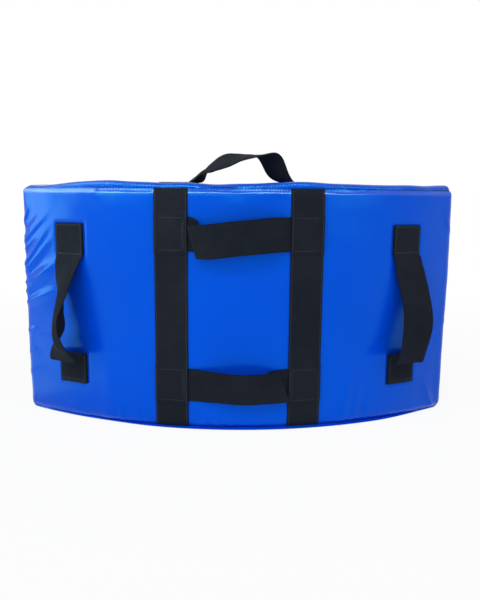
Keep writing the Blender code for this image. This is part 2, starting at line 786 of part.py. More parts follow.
def end_frame(side, height):
    """Axes at an end panel's middle: X outwards over the thickness, Y out of the end, Z up."""
    origin = end_point(side, SEAM_MID, height, 0.0)
    radial = Vector((side * sin(HALF_SWEEP), -cos(HALF_SWEEP), 0.0))
    tangent = Vector((side * cos(HALF_SWEEP), sin(HALF_SWEEP), 0.0))
    rotation = Matrix((radial, tangent, (0.0, 0.0, 1.0))).transposed()
    if side < 0:
        rotation = Matrix((-radial, tangent, (0.0, 0.0, 1.0))).transposed()
    return Matrix.Translation(origin) @ rotation.to_4x4()


def extrude_outline(name, points, depth):
    """A flat outline in X and Z, extruded along Y from 0 to a depth."""
    bm = bmesh.new()
    corners = [bm.verts.new((x, 0.0, z)) for x, z in points]
    face = bm.faces.new(corners)
    made = bmesh.ops.extrude_face_region(bm, geom=[face])
    moved = [item for item in made["geom"] if isinstance(item, bmesh.types.BMVert)]
    bmesh.ops.translate(bm, vec=(0.0, depth, 0.0), verts=moved)
    bmesh.ops.recalc_face_normals(bm, faces=bm.faces)
    return mesh_from(bm, name)


def place_mesh(mesh, matrix):
    """Move a mesh's corners by a matrix and hand it back."""
    mesh.transform(matrix)
    return mesh


def build_zip():
    """The zip that closes the cover at its right end, its slider at the top."""
    frame = end_frame(1, MID_HEIGHT)
    half = ZIP_LENGTH / 2
    panel = bpy.data.objects["right_end_panel"]
    slot = ZIP_SLOT / 2
    slot_end = half + STOP_LENGTH + ZIP_GAP * 4
    opening = box_mesh("zip_slot", (-slot, -END_DRAW, -slot_end), (slot, 2 * END_DRAW, slot_end))
    cutter = add_object("zip_slot", place_mesh(opening, frame), finish("zip_slot", BLUE, 0.5), CUTTERS)
    cut(panel, cutter)

    tape_out = END_DRAW - SKIN - ZIP_GAP
    tape_in = tape_out - TAPE_THICKNESS
    tape_end = slot_end + ZIP_SLOT / 2
    for name, way in (("zip_front_tape", 1), ("zip_rear_tape", -1)):
        sides = sorted((way * TAPE_SPLIT / 2, way * (TAPE_SPLIT / 2 + TAPE_WIDTH)))
        mesh = box_mesh(name, (sides[0], tape_in, -tape_end), (sides[1], tape_out, tape_end))
        add_object(name, place_mesh(mesh, frame), finish(name, ZIP_BLACK, 0.8))

    pitch = ZIP_LENGTH / TEETH_COUNT
    outline = []
    for side in (1, -1):
        for k in range(TEETH_COUNT):
            low = -half + k * pitch if side > 0 else half - k * pitch
            way = side * pitch
            wide = side * TEETH_WIDTH / 2
            narrow = side * (TEETH_WIDTH / 2 - TEETH_DEPTH)
            outline += [(narrow, low), (wide, low + way * 0.2)]
            outline += [(wide, low + way * 0.7), (narrow, low + way * 0.9)]
    teeth = extrude_outline("zip_teeth", outline, TEETH_THICKNESS)
    teeth.transform(Matrix.Translation((0.0, tape_out + ZIP_GAP, 0.0)))
    add_object("zip_teeth", place_mesh(teeth, frame), finish("zip_teeth", ZIP_BLACK, 0.45))

    base = tape_out + ZIP_GAP
    top = base + TEETH_THICKNESS
    wide = TEETH_WIDTH / 2
    for name, way in (("zip_top_stop", 1), ("zip_bottom_stop", -1)):
        ends = sorted((way * (half + ZIP_GAP), way * (half + ZIP_GAP + STOP_LENGTH)))
        mesh = box_mesh(name, (-wide, base, ends[0]), (wide, top, ends[1]))
        stop = add_object(name, place_mesh(mesh, frame), finish(name, NICKEL, 0.35, 1.0))
        edge = stop.modifiers.new("edge", "BEVEL")
        edge.width = TEETH_THICKNESS / 6
        edge.segments = 1

    build_slider(frame, half, base, top)


def build_slider(frame, half, base, top):
    """The slider, a channel that rides on the teeth with a bridge on its back, and its pull."""
    wide = TEETH_WIDTH / 2 + ZIP_GAP
    outer = wide + SLIDER_WALL
    plate_in = top + ZIP_GAP
    plate_out = plate_in + SLIDER_WALL
    high = half
    low = half - SLIDER_LENGTH
    name = "zip_slider"
    mesh = box_mesh(name, (-outer, base, low), (outer, plate_out, high))
    slider = add_object(name, place_mesh(mesh, frame), finish(name, NICKEL, 0.3, 1.0))
    channel = box_mesh("channel", (-wide, base - SLIDER_WALL, low - SLIDER_WALL),
                       (wide, plate_in, high + SLIDER_WALL))
    material = finish("zip_cutters", NICKEL, 0.5)
    cut(slider, add_object("slider_channel", place_mesh(channel, frame), material, CUTTERS))

    bar = PULL_BAR / 2
    bar_out = plate_out + PULL_PLAY + bar
    bar_height = (low + high) / 2
    window_z = bar + PULL_PLAY * 2
    window_top = bar_out + bar + PULL_PLAY
    bridge = box_mesh(
        "bridge",
        (-BRIDGE_WIDTH / 2, plate_out - SLIDER_WALL / 2, bar_height - window_z - BRIDGE_WALL),
        (BRIDGE_WIDTH / 2, window_top + BRIDGE_WALL, bar_height + window_z + BRIDGE_WALL),
    )
    cut(slider, add_object("slider_bridge", place_mesh(bridge, frame), material, CUTTERS), "UNION")
    window = box_mesh(
        "window",
        (-BRIDGE_WIDTH, plate_out, bar_height - window_z),
        (BRIDGE_WIDTH, window_top, bar_height + window_z),
    )
    cut(slider, add_object("slider_window", place_mesh(window, frame), material, CUTTERS))

    name = "zip_pull"
    half_pull = PULL_WIDTH / 2
    pull = box_mesh(
        name,
        (-half_pull, bar_out - bar, bar_height + bar - PULL_LENGTH),
        (half_pull, bar_out + bar, bar_height + bar),
    )
    pull = add_object(name, place_mesh(pull, frame), finish(name, NICKEL, 0.3, 1.0))
    eye = hypot(window_z + BRIDGE_WALL, window_top + BRIDGE_WALL - bar_out) + PULL_PLAY
    hole_side = BRIDGE_WIDTH / 2 + PULL_PLAY
    hole = box_mesh(
        "pull_eye",
        (-hole_side, bar_out - PULL_BAR, bar_height - eye),
        (hole_side, bar_out + PULL_BAR, bar_height - bar),
    )
    cut(pull, add_object("pull_eye", place_mesh(hole, frame), material, CUTTERS))


def turned(name, profile, sides):
    """A ring turned from a closed profile of radius and height, about Z."""
    bm = bmesh.new()
    corners = [bm.verts.new((radius, 0.0, height)) for radius, height in profile]
    edges = [bm.edges.new((corners[i], corners[i - 1])) for i in range(len(corners))]
    bmesh.ops.spin(
        bm,
        geom=corners + edges,
        cent=(0.0, 0.0, 0.0),
        axis=(0.0, 0.0, 1.0),
        angle=2 * pi,
        steps=sides,
        use_merge=True,
    )
    bmesh.ops.remove_doubles(bm, verts=bm.verts, dist=0.000001)
    bmesh.ops.recalc_face_normals(bm, faces=bm.faces)
    return mesh_from(bm, name)


def build_vents():
    """Two eyelets that let air out through the left end panel, each clenched over a washer inside."""
    panel = bpy.data.objects["left_end_panel"]
    shank = VENT_BORE + VENT_WALL
    hole = shank + VENT_GAP
    outside = END_DRAW + VENT_GAP
    washer_out = END_DRAW - SKIN - VENT_GAP
    washer_in = washer_out - WASHER_THICKNESS
    clench_out = washer_in - VENT_GAP
    clench_in = clench_out - VENT_WALL
    barrel = (
        (VENT_BORE, clench_in),
        (VENT_FLARE, clench_in),
        (VENT_FLARE, clench_out),
        (shank, clench_out),
        (shank, outside),
        (VENT_FLANGE, outside),
        (VENT_FLANGE, outside + VENT_WALL / 2),
        (VENT_FLANGE - VENT_WALL, outside + VENT_WALL),
        (VENT_BORE, outside + VENT_WALL),
    )
    washer = (
        (hole, washer_in),
        (VENT_FLANGE, washer_in),
        (VENT_FLANGE, washer_out),
        (hole, washer_out),
    )
    for place, height in VENT_HEIGHTS.items():
        frame = end_frame(-1, height) @ Matrix.Rotation(-pi / 2, 4, "X")
        name = "vent_eyelet_" + place
        mesh = turned(name, barrel, VENT_SIDES)
        add_object(name, place_mesh(mesh, frame), finish(name, NICKEL, 0.28, 1.0))
        name = "vent_washer_" + place
        mesh = turned(name, washer, VENT_SIDES)
        add_object(name, place_mesh(mesh, frame), finish(name, NICKEL, 0.4, 1.0))
        bm = bmesh.new()
        bmesh.ops.create_cone(
            bm, cap_ends=True, segments=VENT_SIDES, radius1=hole, radius2=hole, depth=4 * END_DRAW
        )
        name = "vent_hole_" + place
        bore = place_mesh(mesh_from(bm, name), frame)
        cut(panel, add_object(name, bore, finish(name, BLUE, 0.5), CUTTERS))


def main():
    clear_scene()
    build_panels()
    build_foam()
    build_straps()
    build_grips()
    build_side_handles()
    build_carry_handle()
    build_backings()
    build_zip()
    build_vents()


main()
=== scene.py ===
"""Curved tackle shield dressed for the studio: vinyl cover, webbing handles, stitching, zip and vents.

Everything is in metres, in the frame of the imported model. The origin is on the flat underside, X runs
along the length, the handles face -Y and Z is up.
"""

from __future__ import annotations

import logging
from collections.abc import Callable, Sequence
from dataclasses import astuple, dataclass, replace
from enum import Enum
from math import cos, hypot, pi, radians, sin

import bpy
import numpy as np
from mathutils import Matrix, Vector

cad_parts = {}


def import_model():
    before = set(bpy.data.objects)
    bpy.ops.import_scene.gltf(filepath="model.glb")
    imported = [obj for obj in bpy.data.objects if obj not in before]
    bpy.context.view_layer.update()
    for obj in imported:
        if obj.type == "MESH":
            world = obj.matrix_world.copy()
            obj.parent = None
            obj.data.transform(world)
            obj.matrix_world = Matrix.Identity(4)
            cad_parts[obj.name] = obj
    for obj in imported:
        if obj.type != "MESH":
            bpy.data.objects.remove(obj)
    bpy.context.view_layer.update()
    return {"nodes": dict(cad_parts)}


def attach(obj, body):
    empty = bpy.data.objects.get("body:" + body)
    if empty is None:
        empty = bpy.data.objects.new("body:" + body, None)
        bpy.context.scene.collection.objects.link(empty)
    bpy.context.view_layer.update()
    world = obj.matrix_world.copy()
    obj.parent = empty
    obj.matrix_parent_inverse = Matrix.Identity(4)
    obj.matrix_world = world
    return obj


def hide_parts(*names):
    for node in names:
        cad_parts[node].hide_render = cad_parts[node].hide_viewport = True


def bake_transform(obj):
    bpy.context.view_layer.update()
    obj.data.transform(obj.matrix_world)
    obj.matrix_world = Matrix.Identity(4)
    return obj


log = logging.getLogger("tackle_shield")

Array = np.ndarray
Place = Callable[[Array, Array], Array]
Bed = Callable[[Array, Array, Array], Array]
Color = tuple[float, float, float]
Piece = bpy.types.Object
Socket = bpy.types.NodeSocket
Value = "Socket | float | Sequence[float]"

# Heights of the two grips' middles
GRIP_HEIGHTS = (0.0705, 0.2965)

# The holes in the two ends: the vents' heights and radius, and the zip slot's middle, half its width
# and half its height
VENT_HEIGHTS = (0.110, 0.262)
VENT_SHANK = 0.0034
ZIP_MIDDLE = 0.18375
ZIP_SLOT_HALF = 0.0060
ZIP_SLOT_HALF_HEIGHT = 0.1552


class Side(Enum):
    """The two ends of the shield, seen from the holder's side."""

    LEFT = -1
    RIGHT = 1

    @property
    def word(self) -> str:
        """The side's name in piece names."""
        return self.name.lower()


class Body(Enum):
    """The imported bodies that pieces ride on."""

    SHIELD = "shield"
    UPPER_GRIP = "upper_grip"
    LOWER_GRIP = "lower_grip"
    LEFT_HANDLE = "left_handle"
    RIGHT_HANDLE = "right_handle"
    CARRY_HANDLE = "carry_handle"
    SLIDER = "zip_slider"
    PULL = "zip_pull"


class Slot(Enum):
    """The record's material slots."""

    COVER = "cover"
    FOAM = "foam"
    IMPACT_FOAM = "impact_foam"
    WEBBING = "webbing"
    LINING = "lining"
    ZIP_TAPE = "zip_tape"
    ZIP_TEETH = "zip_teeth"
    NICKEL = "nickel"


def roll(distance: Array, width: float) -> Array:
    """How far a panel is drawn in near a seam.

    Args:
        distance: Distance from the seam.
        width: Width of the rolled edge.

    Returns:
        1 at the seam, falling smoothly to 0 over the width.
    """
    return np.clip(1.0 - distance / width, 0.0, 1.0) ** 2


def ease(value: Array, low: float, high: float) -> Array:
    """A smooth step.

    Args:
        value: Where to read the step.
        low: Where it starts.
        high: Where it ends.

    Returns:
        0 below low, 1 above high and a smooth rise between them.
    """
    share = np.clip((value - low) / (high - low), 0.0, 1.0)
    return share * share * (3.0 - 2.0 * share)


def ripple(first: Array, second: Array, length: float, seed: int) -> Array:
    """Gentle uneven ground made of a few waves in different directions.

    Args:
        first: Coordinate along the surface.
        second: Coordinate across it.
        length: Typical wavelength.
        seed: Which set of waves.

    Returns:
        Heights between about -1 and 1.
    """
    chance = np.random.default_rng(seed)
    total = np.zeros(np.broadcast(first, second).shape)
    waves = 7
    for _ in range(waves):
        turn, shift = chance.uniform(0.0, 2 * pi, 2)
        reach = length * chance.uniform(0.6, 1.7)
        total += np.sin(2 * pi * (first * cos(turn) + second * sin(turn)) / reach + shift)
    return total / waves**0.5 / 1.3


@dataclass(frozen=True)
class Fold:
    """A soft ridge in the cover, strongest where it starts and fading towards its end."""

    start: tuple[float, float]
    end: tuple[float, float]
    width: float
    height: float
    spread: float = 1.6
    crest: float = 1.5

    def lift(self, first: Array, second: Array) -> Array:
        """Height of the ridge over the panel.

        Args:
            first: First coordinate on the panel.
            second: Second coordinate on the panel.

        Returns:
            The height at each point.
        """
        run = (self.end[0] - self.start[0], self.end[1] - self.start[1])
        length = hypot(*run)
        ahead = ((first - self.start[0]) * run[0] + (second - self.start[1]) * run[1]) / length
        aside = ((second - self.start[1]) * run[0] - (first - self.start[0]) * run[1]) / length
        share = ahead / length
        width = self.width * (1.0 + (self.spread - 1.0) * np.clip(share, 0.0, 1.0))
        fade = (1.0 - ease(share, 0.25, 1.1)) * ease(share, -0.35, 0.05)
        return self.height * fade * np.exp(-np.abs(aside / width) ** self.crest)


class Bench:
    """Modelling moves that every piece shares, each on one piece at a time."""

    @staticmethod
    def take(piece: Piece) -> None:
        """Make a piece the only selected one and the active one.

        Args:
            piece: The piece.
        """
        bpy.ops.object.select_all(action="DESELECT")
        piece.select_set(True)
        bpy.context.view_layer.objects.active = piece

    @staticmethod
    def named(name: str) -> Piece:
        """Name the piece that was just added.

        Args:
            name: The piece's name.

        Returns:
            The active object.
        """
        piece = bpy.context.active_object
        piece.name = name
        piece.data.name = name
        return piece

    @classmethod
    def grid(cls, name: str, columns: int, rows: int) -> Piece:
        """A flat grid from -1 to 1.

        Args:
            name: The piece's name.
            columns: Corners along X.
            rows: Corners along Y.

        Returns:
            The grid.
        """
        bpy.ops.mesh.primitive_grid_add(x_subdivisions=columns - 1, y_subdivisions=rows - 1, size=2.0)
        return cls.named(name)

    @staticmethod
    def corners(piece: Piece) -> Array:
        """Every corner of a piece, as rows of X, Y and Z.

        Args:
            piece: The piece.

        Returns:
            One row for each corner.
        """
        flat = np.zeros(len(piece.data.vertices) * 3)
        piece.data.vertices.foreach_get("co", flat)
        return flat.reshape(-1, 3)

    @staticmethod
    def put(piece: Piece, points: Array) -> None:
        """Move every corner of a piece."""
        piece.data.vertices.foreach_set("co", np.ascontiguousarray(points, np.float32).ravel())
        piece.data.update()

    @classmethod
    def indices(cls, piece: Piece, columns: int, rows: int) -> tuple[Array, Array]:
        """Which column and row each corner of a fresh grid is in.

        Args:
            piece: The grid.
            columns: Corners along X.
            rows: Corners along Y.

        Returns:
            The column and the row of each corner.
        """
        flat = cls.corners(piece)
        column = np.rint((flat[:, 0] + 1.0) / 2.0 * (columns - 1)).astype(int)
        row = np.rint((flat[:, 1] + 1.0) / 2.0 * (rows - 1)).astype(int)
        return column, row

    @staticmethod
    def unwrap(piece: Piece, name: str, places: Array) -> None:
        """Give a piece a UV map from a pair of lengths at each corner.

        Args:
            piece: The piece.
            name: The map's name.
            places: One pair for each corner of the mesh.
        """
        layer = piece.data.uv_layers.get(name) or piece.data.uv_layers.new(name=name)
        owners = np.zeros(len(piece.data.loops), dtype=int)
        piece.data.loops.foreach_get("vertex_index", owners)
        layer.data.foreach_set("uv", np.ascontiguousarray(places[owners], np.float32).ravel())

    @classmethod
    def edit(cls, piece: Piece, *moves: Callable[[], object]) -> None:
        """Run edit-mode operators on the whole of a piece.

        Args:
            piece: The piece.
            moves: The operators, in order.
        """
        cls.take(piece)
        bpy.ops.object.mode_set(mode="EDIT")
        bpy.ops.mesh.select_all(action="SELECT")
        for move in moves:
            move()
        bpy.ops.object.mode_set(mode="OBJECT")

    @classmethod
    def modify(cls, piece: Piece, kind: str, **settings: object) -> None:
        """Add a modifier and apply it.

        Args:
            piece: The piece.
            kind: The modifier's type.
            settings: Its settings.
        """
        modifier = piece.modifiers.new(kind.lower(), kind)
        for key, value in settings.items():
            setattr(modifier, key, value)
        cls.take(piece)
        bpy.ops.object.modifier_apply(modifier=modifier.name)

    @classmethod
    def settle(cls, piece: Piece) -> None:
        """Bake a piece's place into its mesh."""
        cls.take(piece)
        bpy.ops.object.transform_apply(location=True, rotation=True, scale=True)

    @classmethod
    def smooth(cls, piece: Piece, angle: float = 40.0) -> None:
        """Shade a piece smooth, but for edges sharper than an angle in degrees."""
        cls.take(piece)
        bpy.ops.object.shade_smooth_by_angle(angle=radians(angle))

    @classmethod
    def join(cls, name: str, pieces: Sequence[Piece]) -> Piece:
        """Join pieces into one.

        Args:
            name: The new piece's name.
            pieces: What to join.

        Returns:
            The joined piece.
        """
        bpy.ops.object.select_all(action="DESELECT")
        for piece in pieces:
            piece.select_set(True)
        bpy.context.view_layer.objects.active = pieces[0]
        bpy.ops.object.join()
        return cls.named(name)

    @staticmethod
    def linked(name: str, data: bpy.types.ID) -> Piece:
        """A new object in the scene.

        Args:
            name: Its name.
            data: Its mesh, lamp or camera.

        Returns:
            The object.
        """
        made = bpy.data.objects.new(name, data)
        bpy.context.scene.collection.objects.link(made)
        return made

    @classmethod
    def refined(cls, node: Piece, name: str, bevel: float) -> Piece:
        """A copy of a hard piece with its edges rounded.

        Args:
            node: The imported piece.
            name: The copy's name.
            bevel: Width of the rounding.

        Returns:
            The rounded copy.
        """
        copy = cls.linked(name, node.data.copy())
        copy.data.name = name
        cls.edit(
            copy,
            lambda: bpy.ops.mesh.remove_doubles(threshold=0.000005),
            lambda: bpy.ops.mesh.dissolve_limited(angle_limit=radians(1.0)),
        )
        copy.data.materials.clear()
        cls.modify(copy, "BEVEL", width=bevel, segments=3, limit_method="ANGLE", angle_limit=radians(30))
        cls.smooth(copy, 50.0)
        return copy


@dataclass(frozen=True)
class ShieldForm:
    """The shield's body: a convex holder's face, a concave hit face, two gussets and two ends."""

    face_radius: float = 0.616
    half_sweep: float = radians(34.0)
    thickness: float = 0.120
    seam_low: float = 0.0050
    seam_height: float = 0.3575
    face_draw: float = 0.0040
    face_roll: float = 0.0120
    hit_draw: float = 0.0050
    hit_roll: float = 0.0140
    hit_crown: float = 0.0040
    top_draw: float = 0.0040
    top_roll: float = 0.0090
    top_crown: float = 0.0025
    bottom_roll: float = 0.0100
    end_draw: float = 0.0050
    end_roll: float = 0.0100
    corner: float = 0.0090
    worn_corner: float = 0.0130
    bows: tuple[tuple[int, float, float, float], ...] = (
        (-1, 0.0024, 0.130, 0.095),
        (1, 0.0032, 0.240, 0.085),
    )

    @property
    def axis_y(self) -> float:
        """Y of the upright axis that the shield curves round."""
        return self.face_radius - self.thickness / 2

    @property
    def hit_radius(self) -> float:
        """Radius of the hit face."""
        return self.face_radius - self.thickness

    @property
    def seam_near(self) -> float:
        """Radius of the seams round the holder's face."""
        return self.face_radius - self.face_draw

    @property
    def seam_far(self) -> float:
        """Radius of the seams round the hit face."""
        return self.hit_radius + self.hit_draw

    @property
    def seam_mid(self) -> float:
        """Radius half way between the two."""
        return (self.seam_near + self.seam_far) / 2

    @property
    def seam_high(self) -> float:
        """Height of the top seams."""
        return self.seam_low + self.seam_height

    def on_arc(self, angle: Array, radius: Array, height: Array) -> Array:
        """Points about the axis that the shield curves round.

        Args:
            angle: Angle from the middle, positive to the right.
            radius: Distance from the axis.
            height: Height.

        Returns:
            One row of X, Y and Z for each point.
        """
        angle, radius, height = np.broadcast_arrays(angle, radius, height)
        depth = self.axis_y - radius * np.cos(angle)
        return np.stack((radius * np.sin(angle), depth, height), axis=-1)

    def settled(self, points: Array) -> Array:
        """The cover's points with its four corners rounded and its two ends bowed outwards.

        Args:
            points: One row of X, Y and Z for each point.

        Returns:
            The moved points.
        """
        depth = self.axis_y - points[..., 1]
        radius = np.hypot(points[..., 0], depth)
        angle = np.arctan2(points[..., 0], depth)
        height = points[..., 2].copy()
        side = np.sign(angle)
        for top, way in ((self.seam_high, 1.0), (self.seam_low, -1.0)):
            corner = np.where((side > 0) & (way < 0), self.worn_corner, self.corner)
            level = np.clip(1.0 - (self.half_sweep - np.abs(angle)) * radius / corner, 0.0, 1.0)
            rise = np.clip(1.0 - way * (top - height) / corner, 0.0, 1.0)
            angle += side * corner * level * (np.sqrt(1.0 - rise**2 / 2) - 1.0) / radius
            height += way * corner * rise * (np.sqrt(1.0 - level**2 / 2) - 1.0)
        shallow = ease(radius, self.seam_mid + 0.014, self.seam_near - 0.004)
        for way, amount, middle, reach in self.bows:
            near = ease(angle * way, self.half_sweep * 0.80, self.half_sweep) * (side == way) * shallow
            angle += way * amount * near * np.exp(-(((height - middle) / reach) ** 2)) / radius
        return self.on_arc(angle, radius, height)

    def edge(self, first: Array, second: Array) -> Array:
        """Two rolls that meet along a mitre."""
        return np.maximum(first, second)

    def end_rolls(self, angle: Array, radius: float, width: float) -> Array:
        """The roll towards the nearer end seam."""
        return roll((self.half_sweep - np.abs(angle)) * radius, width)

    def height_rolls(self, height: Array, width: float) -> Array:
        """The roll towards the nearer of the top and bottom seams."""
        return roll(np.minimum(height - self.seam_low, self.seam_high - height), width)

    def depth_rolls(self, radius: Array, width: float) -> Array:
        """The roll towards the nearer face's seam."""
        return roll(np.minimum(radius - self.seam_far, self.seam_near - radius), width)

    def face_out(self, angle: Array, height: Array) -> Array:
        """How far the holder's face stands from its full radius: 0, and less at its rolled edges."""
        ends = self.end_rolls(angle, self.face_radius, self.face_roll)
        return -self.face_draw * self.edge(ends, self.height_rolls(height, self.face_roll))

    def top_height(self, angle: Array, radius: Array) -> Array:
        """Height of the crowned top gusset.

        Args:
            angle: Angle from the middle.
            radius: Distance from the axis.

        Returns:
            The height at each point.
        """
        ends = self.end_rolls(angle, self.seam_mid, self.top_roll)
        edge = self.edge(ends, self.depth_rolls(radius, self.top_roll))
        across = (radius - self.seam_mid) / ((self.seam_near - self.seam_far) / 2)
        crown = self.top_crown * np.clip(1.0 - across**2, 0.0, None) * (1.0 - ends)
        return self.seam_high + self.top_draw * (1.0 - edge) + crown

    def end_point(self, side: Side, radius: Array, height: Array, out: Array) -> Array:
        """Points on or over an end.

        Args:
            side: Which end.
            radius: Distance from the axis.
            height: Height.
            out: Distance out from the plane of the end's seams.

        Returns:
            One row of X, Y and Z for each point.
        """
        way = side.value
        tangent = np.array((way * cos(self.half_sweep), sin(self.half_sweep), 0.0))
        base = self.on_arc(way * self.half_sweep, radius, height)
        return base + np.asarray(out)[..., None] * tangent

    def face_bed(self, centre: float) -> Bed:
        """The holder's face for upright webbing: along is the height and across runs to the right.

        Args:
            centre: How far to the right its middle is, along the face.

        Returns:
            What places points over the face.
        """

        def point(along: Array, across: Array, out: Array) -> Array:
            """Points over the face."""
            radius = self.face_radius + out
            return self.on_arc(centre / self.face_radius + across / radius, radius, along)

        return point

    def level_bed(self, height: float) -> Bed:
        """The holder's face for level webbing: along runs to the right and across is upwards.

        Args:
            height: Height of its middle.

        Returns:
            What places points over the face.
        """

        def point(along: Array, across: Array, out: Array) -> Array:
            """Points over the face."""
            return self.on_arc(along / self.face_radius, self.face_radius + out, height + across)

        return point

    def top_bed(self, along: Array, across: Array, out: Array) -> Array:
        """The top gusset for webbing: along runs to the right and across runs away from the holder.

        Args:
            along: Length to the right.
            across: Length away from the holder.
            out: Distance over the gusset.

        Returns:
            One row of X, Y and Z for each point.
        """
        radius = self.seam_mid - across
        angle = along / self.seam_mid
        return self.on_arc(angle, radius, self.top_height(angle, radius) + out)


class Tree:
    """A node tree that is being written, with short ways to add nodes and join them."""

    def __init__(self, tree: bpy.types.NodeTree) -> None:
        """Start writing into a tree."""
        self.tree = tree

    def plug(self, value: Value, socket: Socket) -> None:
        """Join an output to a socket, or set the socket's value.

        Args:
            value: The output or the value.
            socket: The socket.
        """
        if isinstance(value, Socket):
            self.tree.links.new(value, socket)
        else:
            socket.default_value = value

    def add(
        self, kind: str, inputs: dict[str | int, Value] | None = None, **settings: object
    ) -> bpy.types.Node:
        """Add a node.

        Args:
            kind: The node's type name without ShaderNode.
            inputs: Values or outputs for its sockets, by name or number.
            settings: Its properties.

        Returns:
            The node.
        """
        node = self.tree.nodes.new("ShaderNode" + kind)
        for key, value in settings.items():
            setattr(node, key, value)
        for key, value in (inputs or {}).items():
            self.plug(value, node.inputs[key])
        return node

    def math(self, operation: str, *values: Value) -> Socket:
        """A Math node's result."""
        return self.add("Math", dict(enumerate(values)), operation=operation).outputs[0]

    def vector(self, operation: str, *values: Value) -> Socket:
        """A Vector Math node's result."""
        return self.add("VectorMath", dict(enumerate(values)), operation=operation).outputs[0]

    def noise(self, where: Value, scale: float, detail: float = 3.0, rough: float = 0.5) -> Socket:
        """A noise pattern's value."""
        inputs = {"Vector": where, "Scale": scale, "Detail": detail, "Roughness": rough}
        return self.add("TexNoise", inputs).outputs["Fac"]

    def remap(self, value: Value, low: float, high: float, start: float = 0.0, end: float = 1.0) -> Socket:
        """A value moved from one range to another, and kept inside it."""
        inputs = {0: value, 1: low, 2: high, 3: start, 4: end}
        return self.add("MapRange", inputs, clamp=True).outputs[0]

    def blend(self, share: Value, first: Value, second: Value) -> Socket:
        """Two colours mixed by a share.

        Args:
            share: Share of the second colour.
            first: The first colour.
            second: The second colour.

        Returns:
            The mixed colour.
        """
        node = self.add("Mix", data_type="RGBA", clamp_factor=True)
        self.plug(share, node.inputs[0])
        for color, socket in ((first, node.inputs[6]), (second, node.inputs[7])):
            self.plug((*color, 1.0) if isinstance(color, tuple) else color, socket)
        return node.outputs[2]

    def bump(self, strength: float, distance: float, height: Value, under: Value | None = None) -> Socket:
        """A normal raised by a height, over another normal where there is one.

        Args:
            strength: The bump's strength.
            distance: How far a height of 1 stands out.
            height: The height.
            under: The other normal.

        Returns:
            The normal.
        """
        inputs = {"Strength": strength, "Distance": distance, "Height": height}
        if under is not None:
            inputs["Normal"] = under
        return self.add("Bump", inputs).outputs[0]

    def surface(self, shader: bpy.types.Node, color: Value, rough: Value, normal: Value) -> None:
        """Join a finish's colour, roughness and normal to its shader.

        Args:
            shader: The shader.
            color: The colour.
            rough: The roughness.
            normal: The normal.
        """
        self.plug(color, shader.inputs["Base Color"])
        self.plug(rough, shader.inputs["Roughness"])
        self.plug(normal, shader.inputs["Normal"])

    def uv(self, name: str) -> Socket:
        """A named UV map of the piece."""
        return self.add("UVMap", uv_map=name).outputs[0]

    def place(self) -> Socket:
        """The piece's own coordinates."""
        return self.add("TexCoord").outputs["Object"]

    def group(self, name: str, **values: Value) -> bpy.types.Node:
        """A shared effect, placed with its own values.

        Args:
            name: The effect's name.
            values: Values or outputs for its inputs.

        Returns:
            The group's node.
        """
        node = self.tree.nodes.new("ShaderNodeGroup")
        node.node_tree = bpy.data.node_groups[name]
        for key, value in values.items():
            self.plug(value, node.inputs[key.replace("_", " ").capitalize()])
        return node


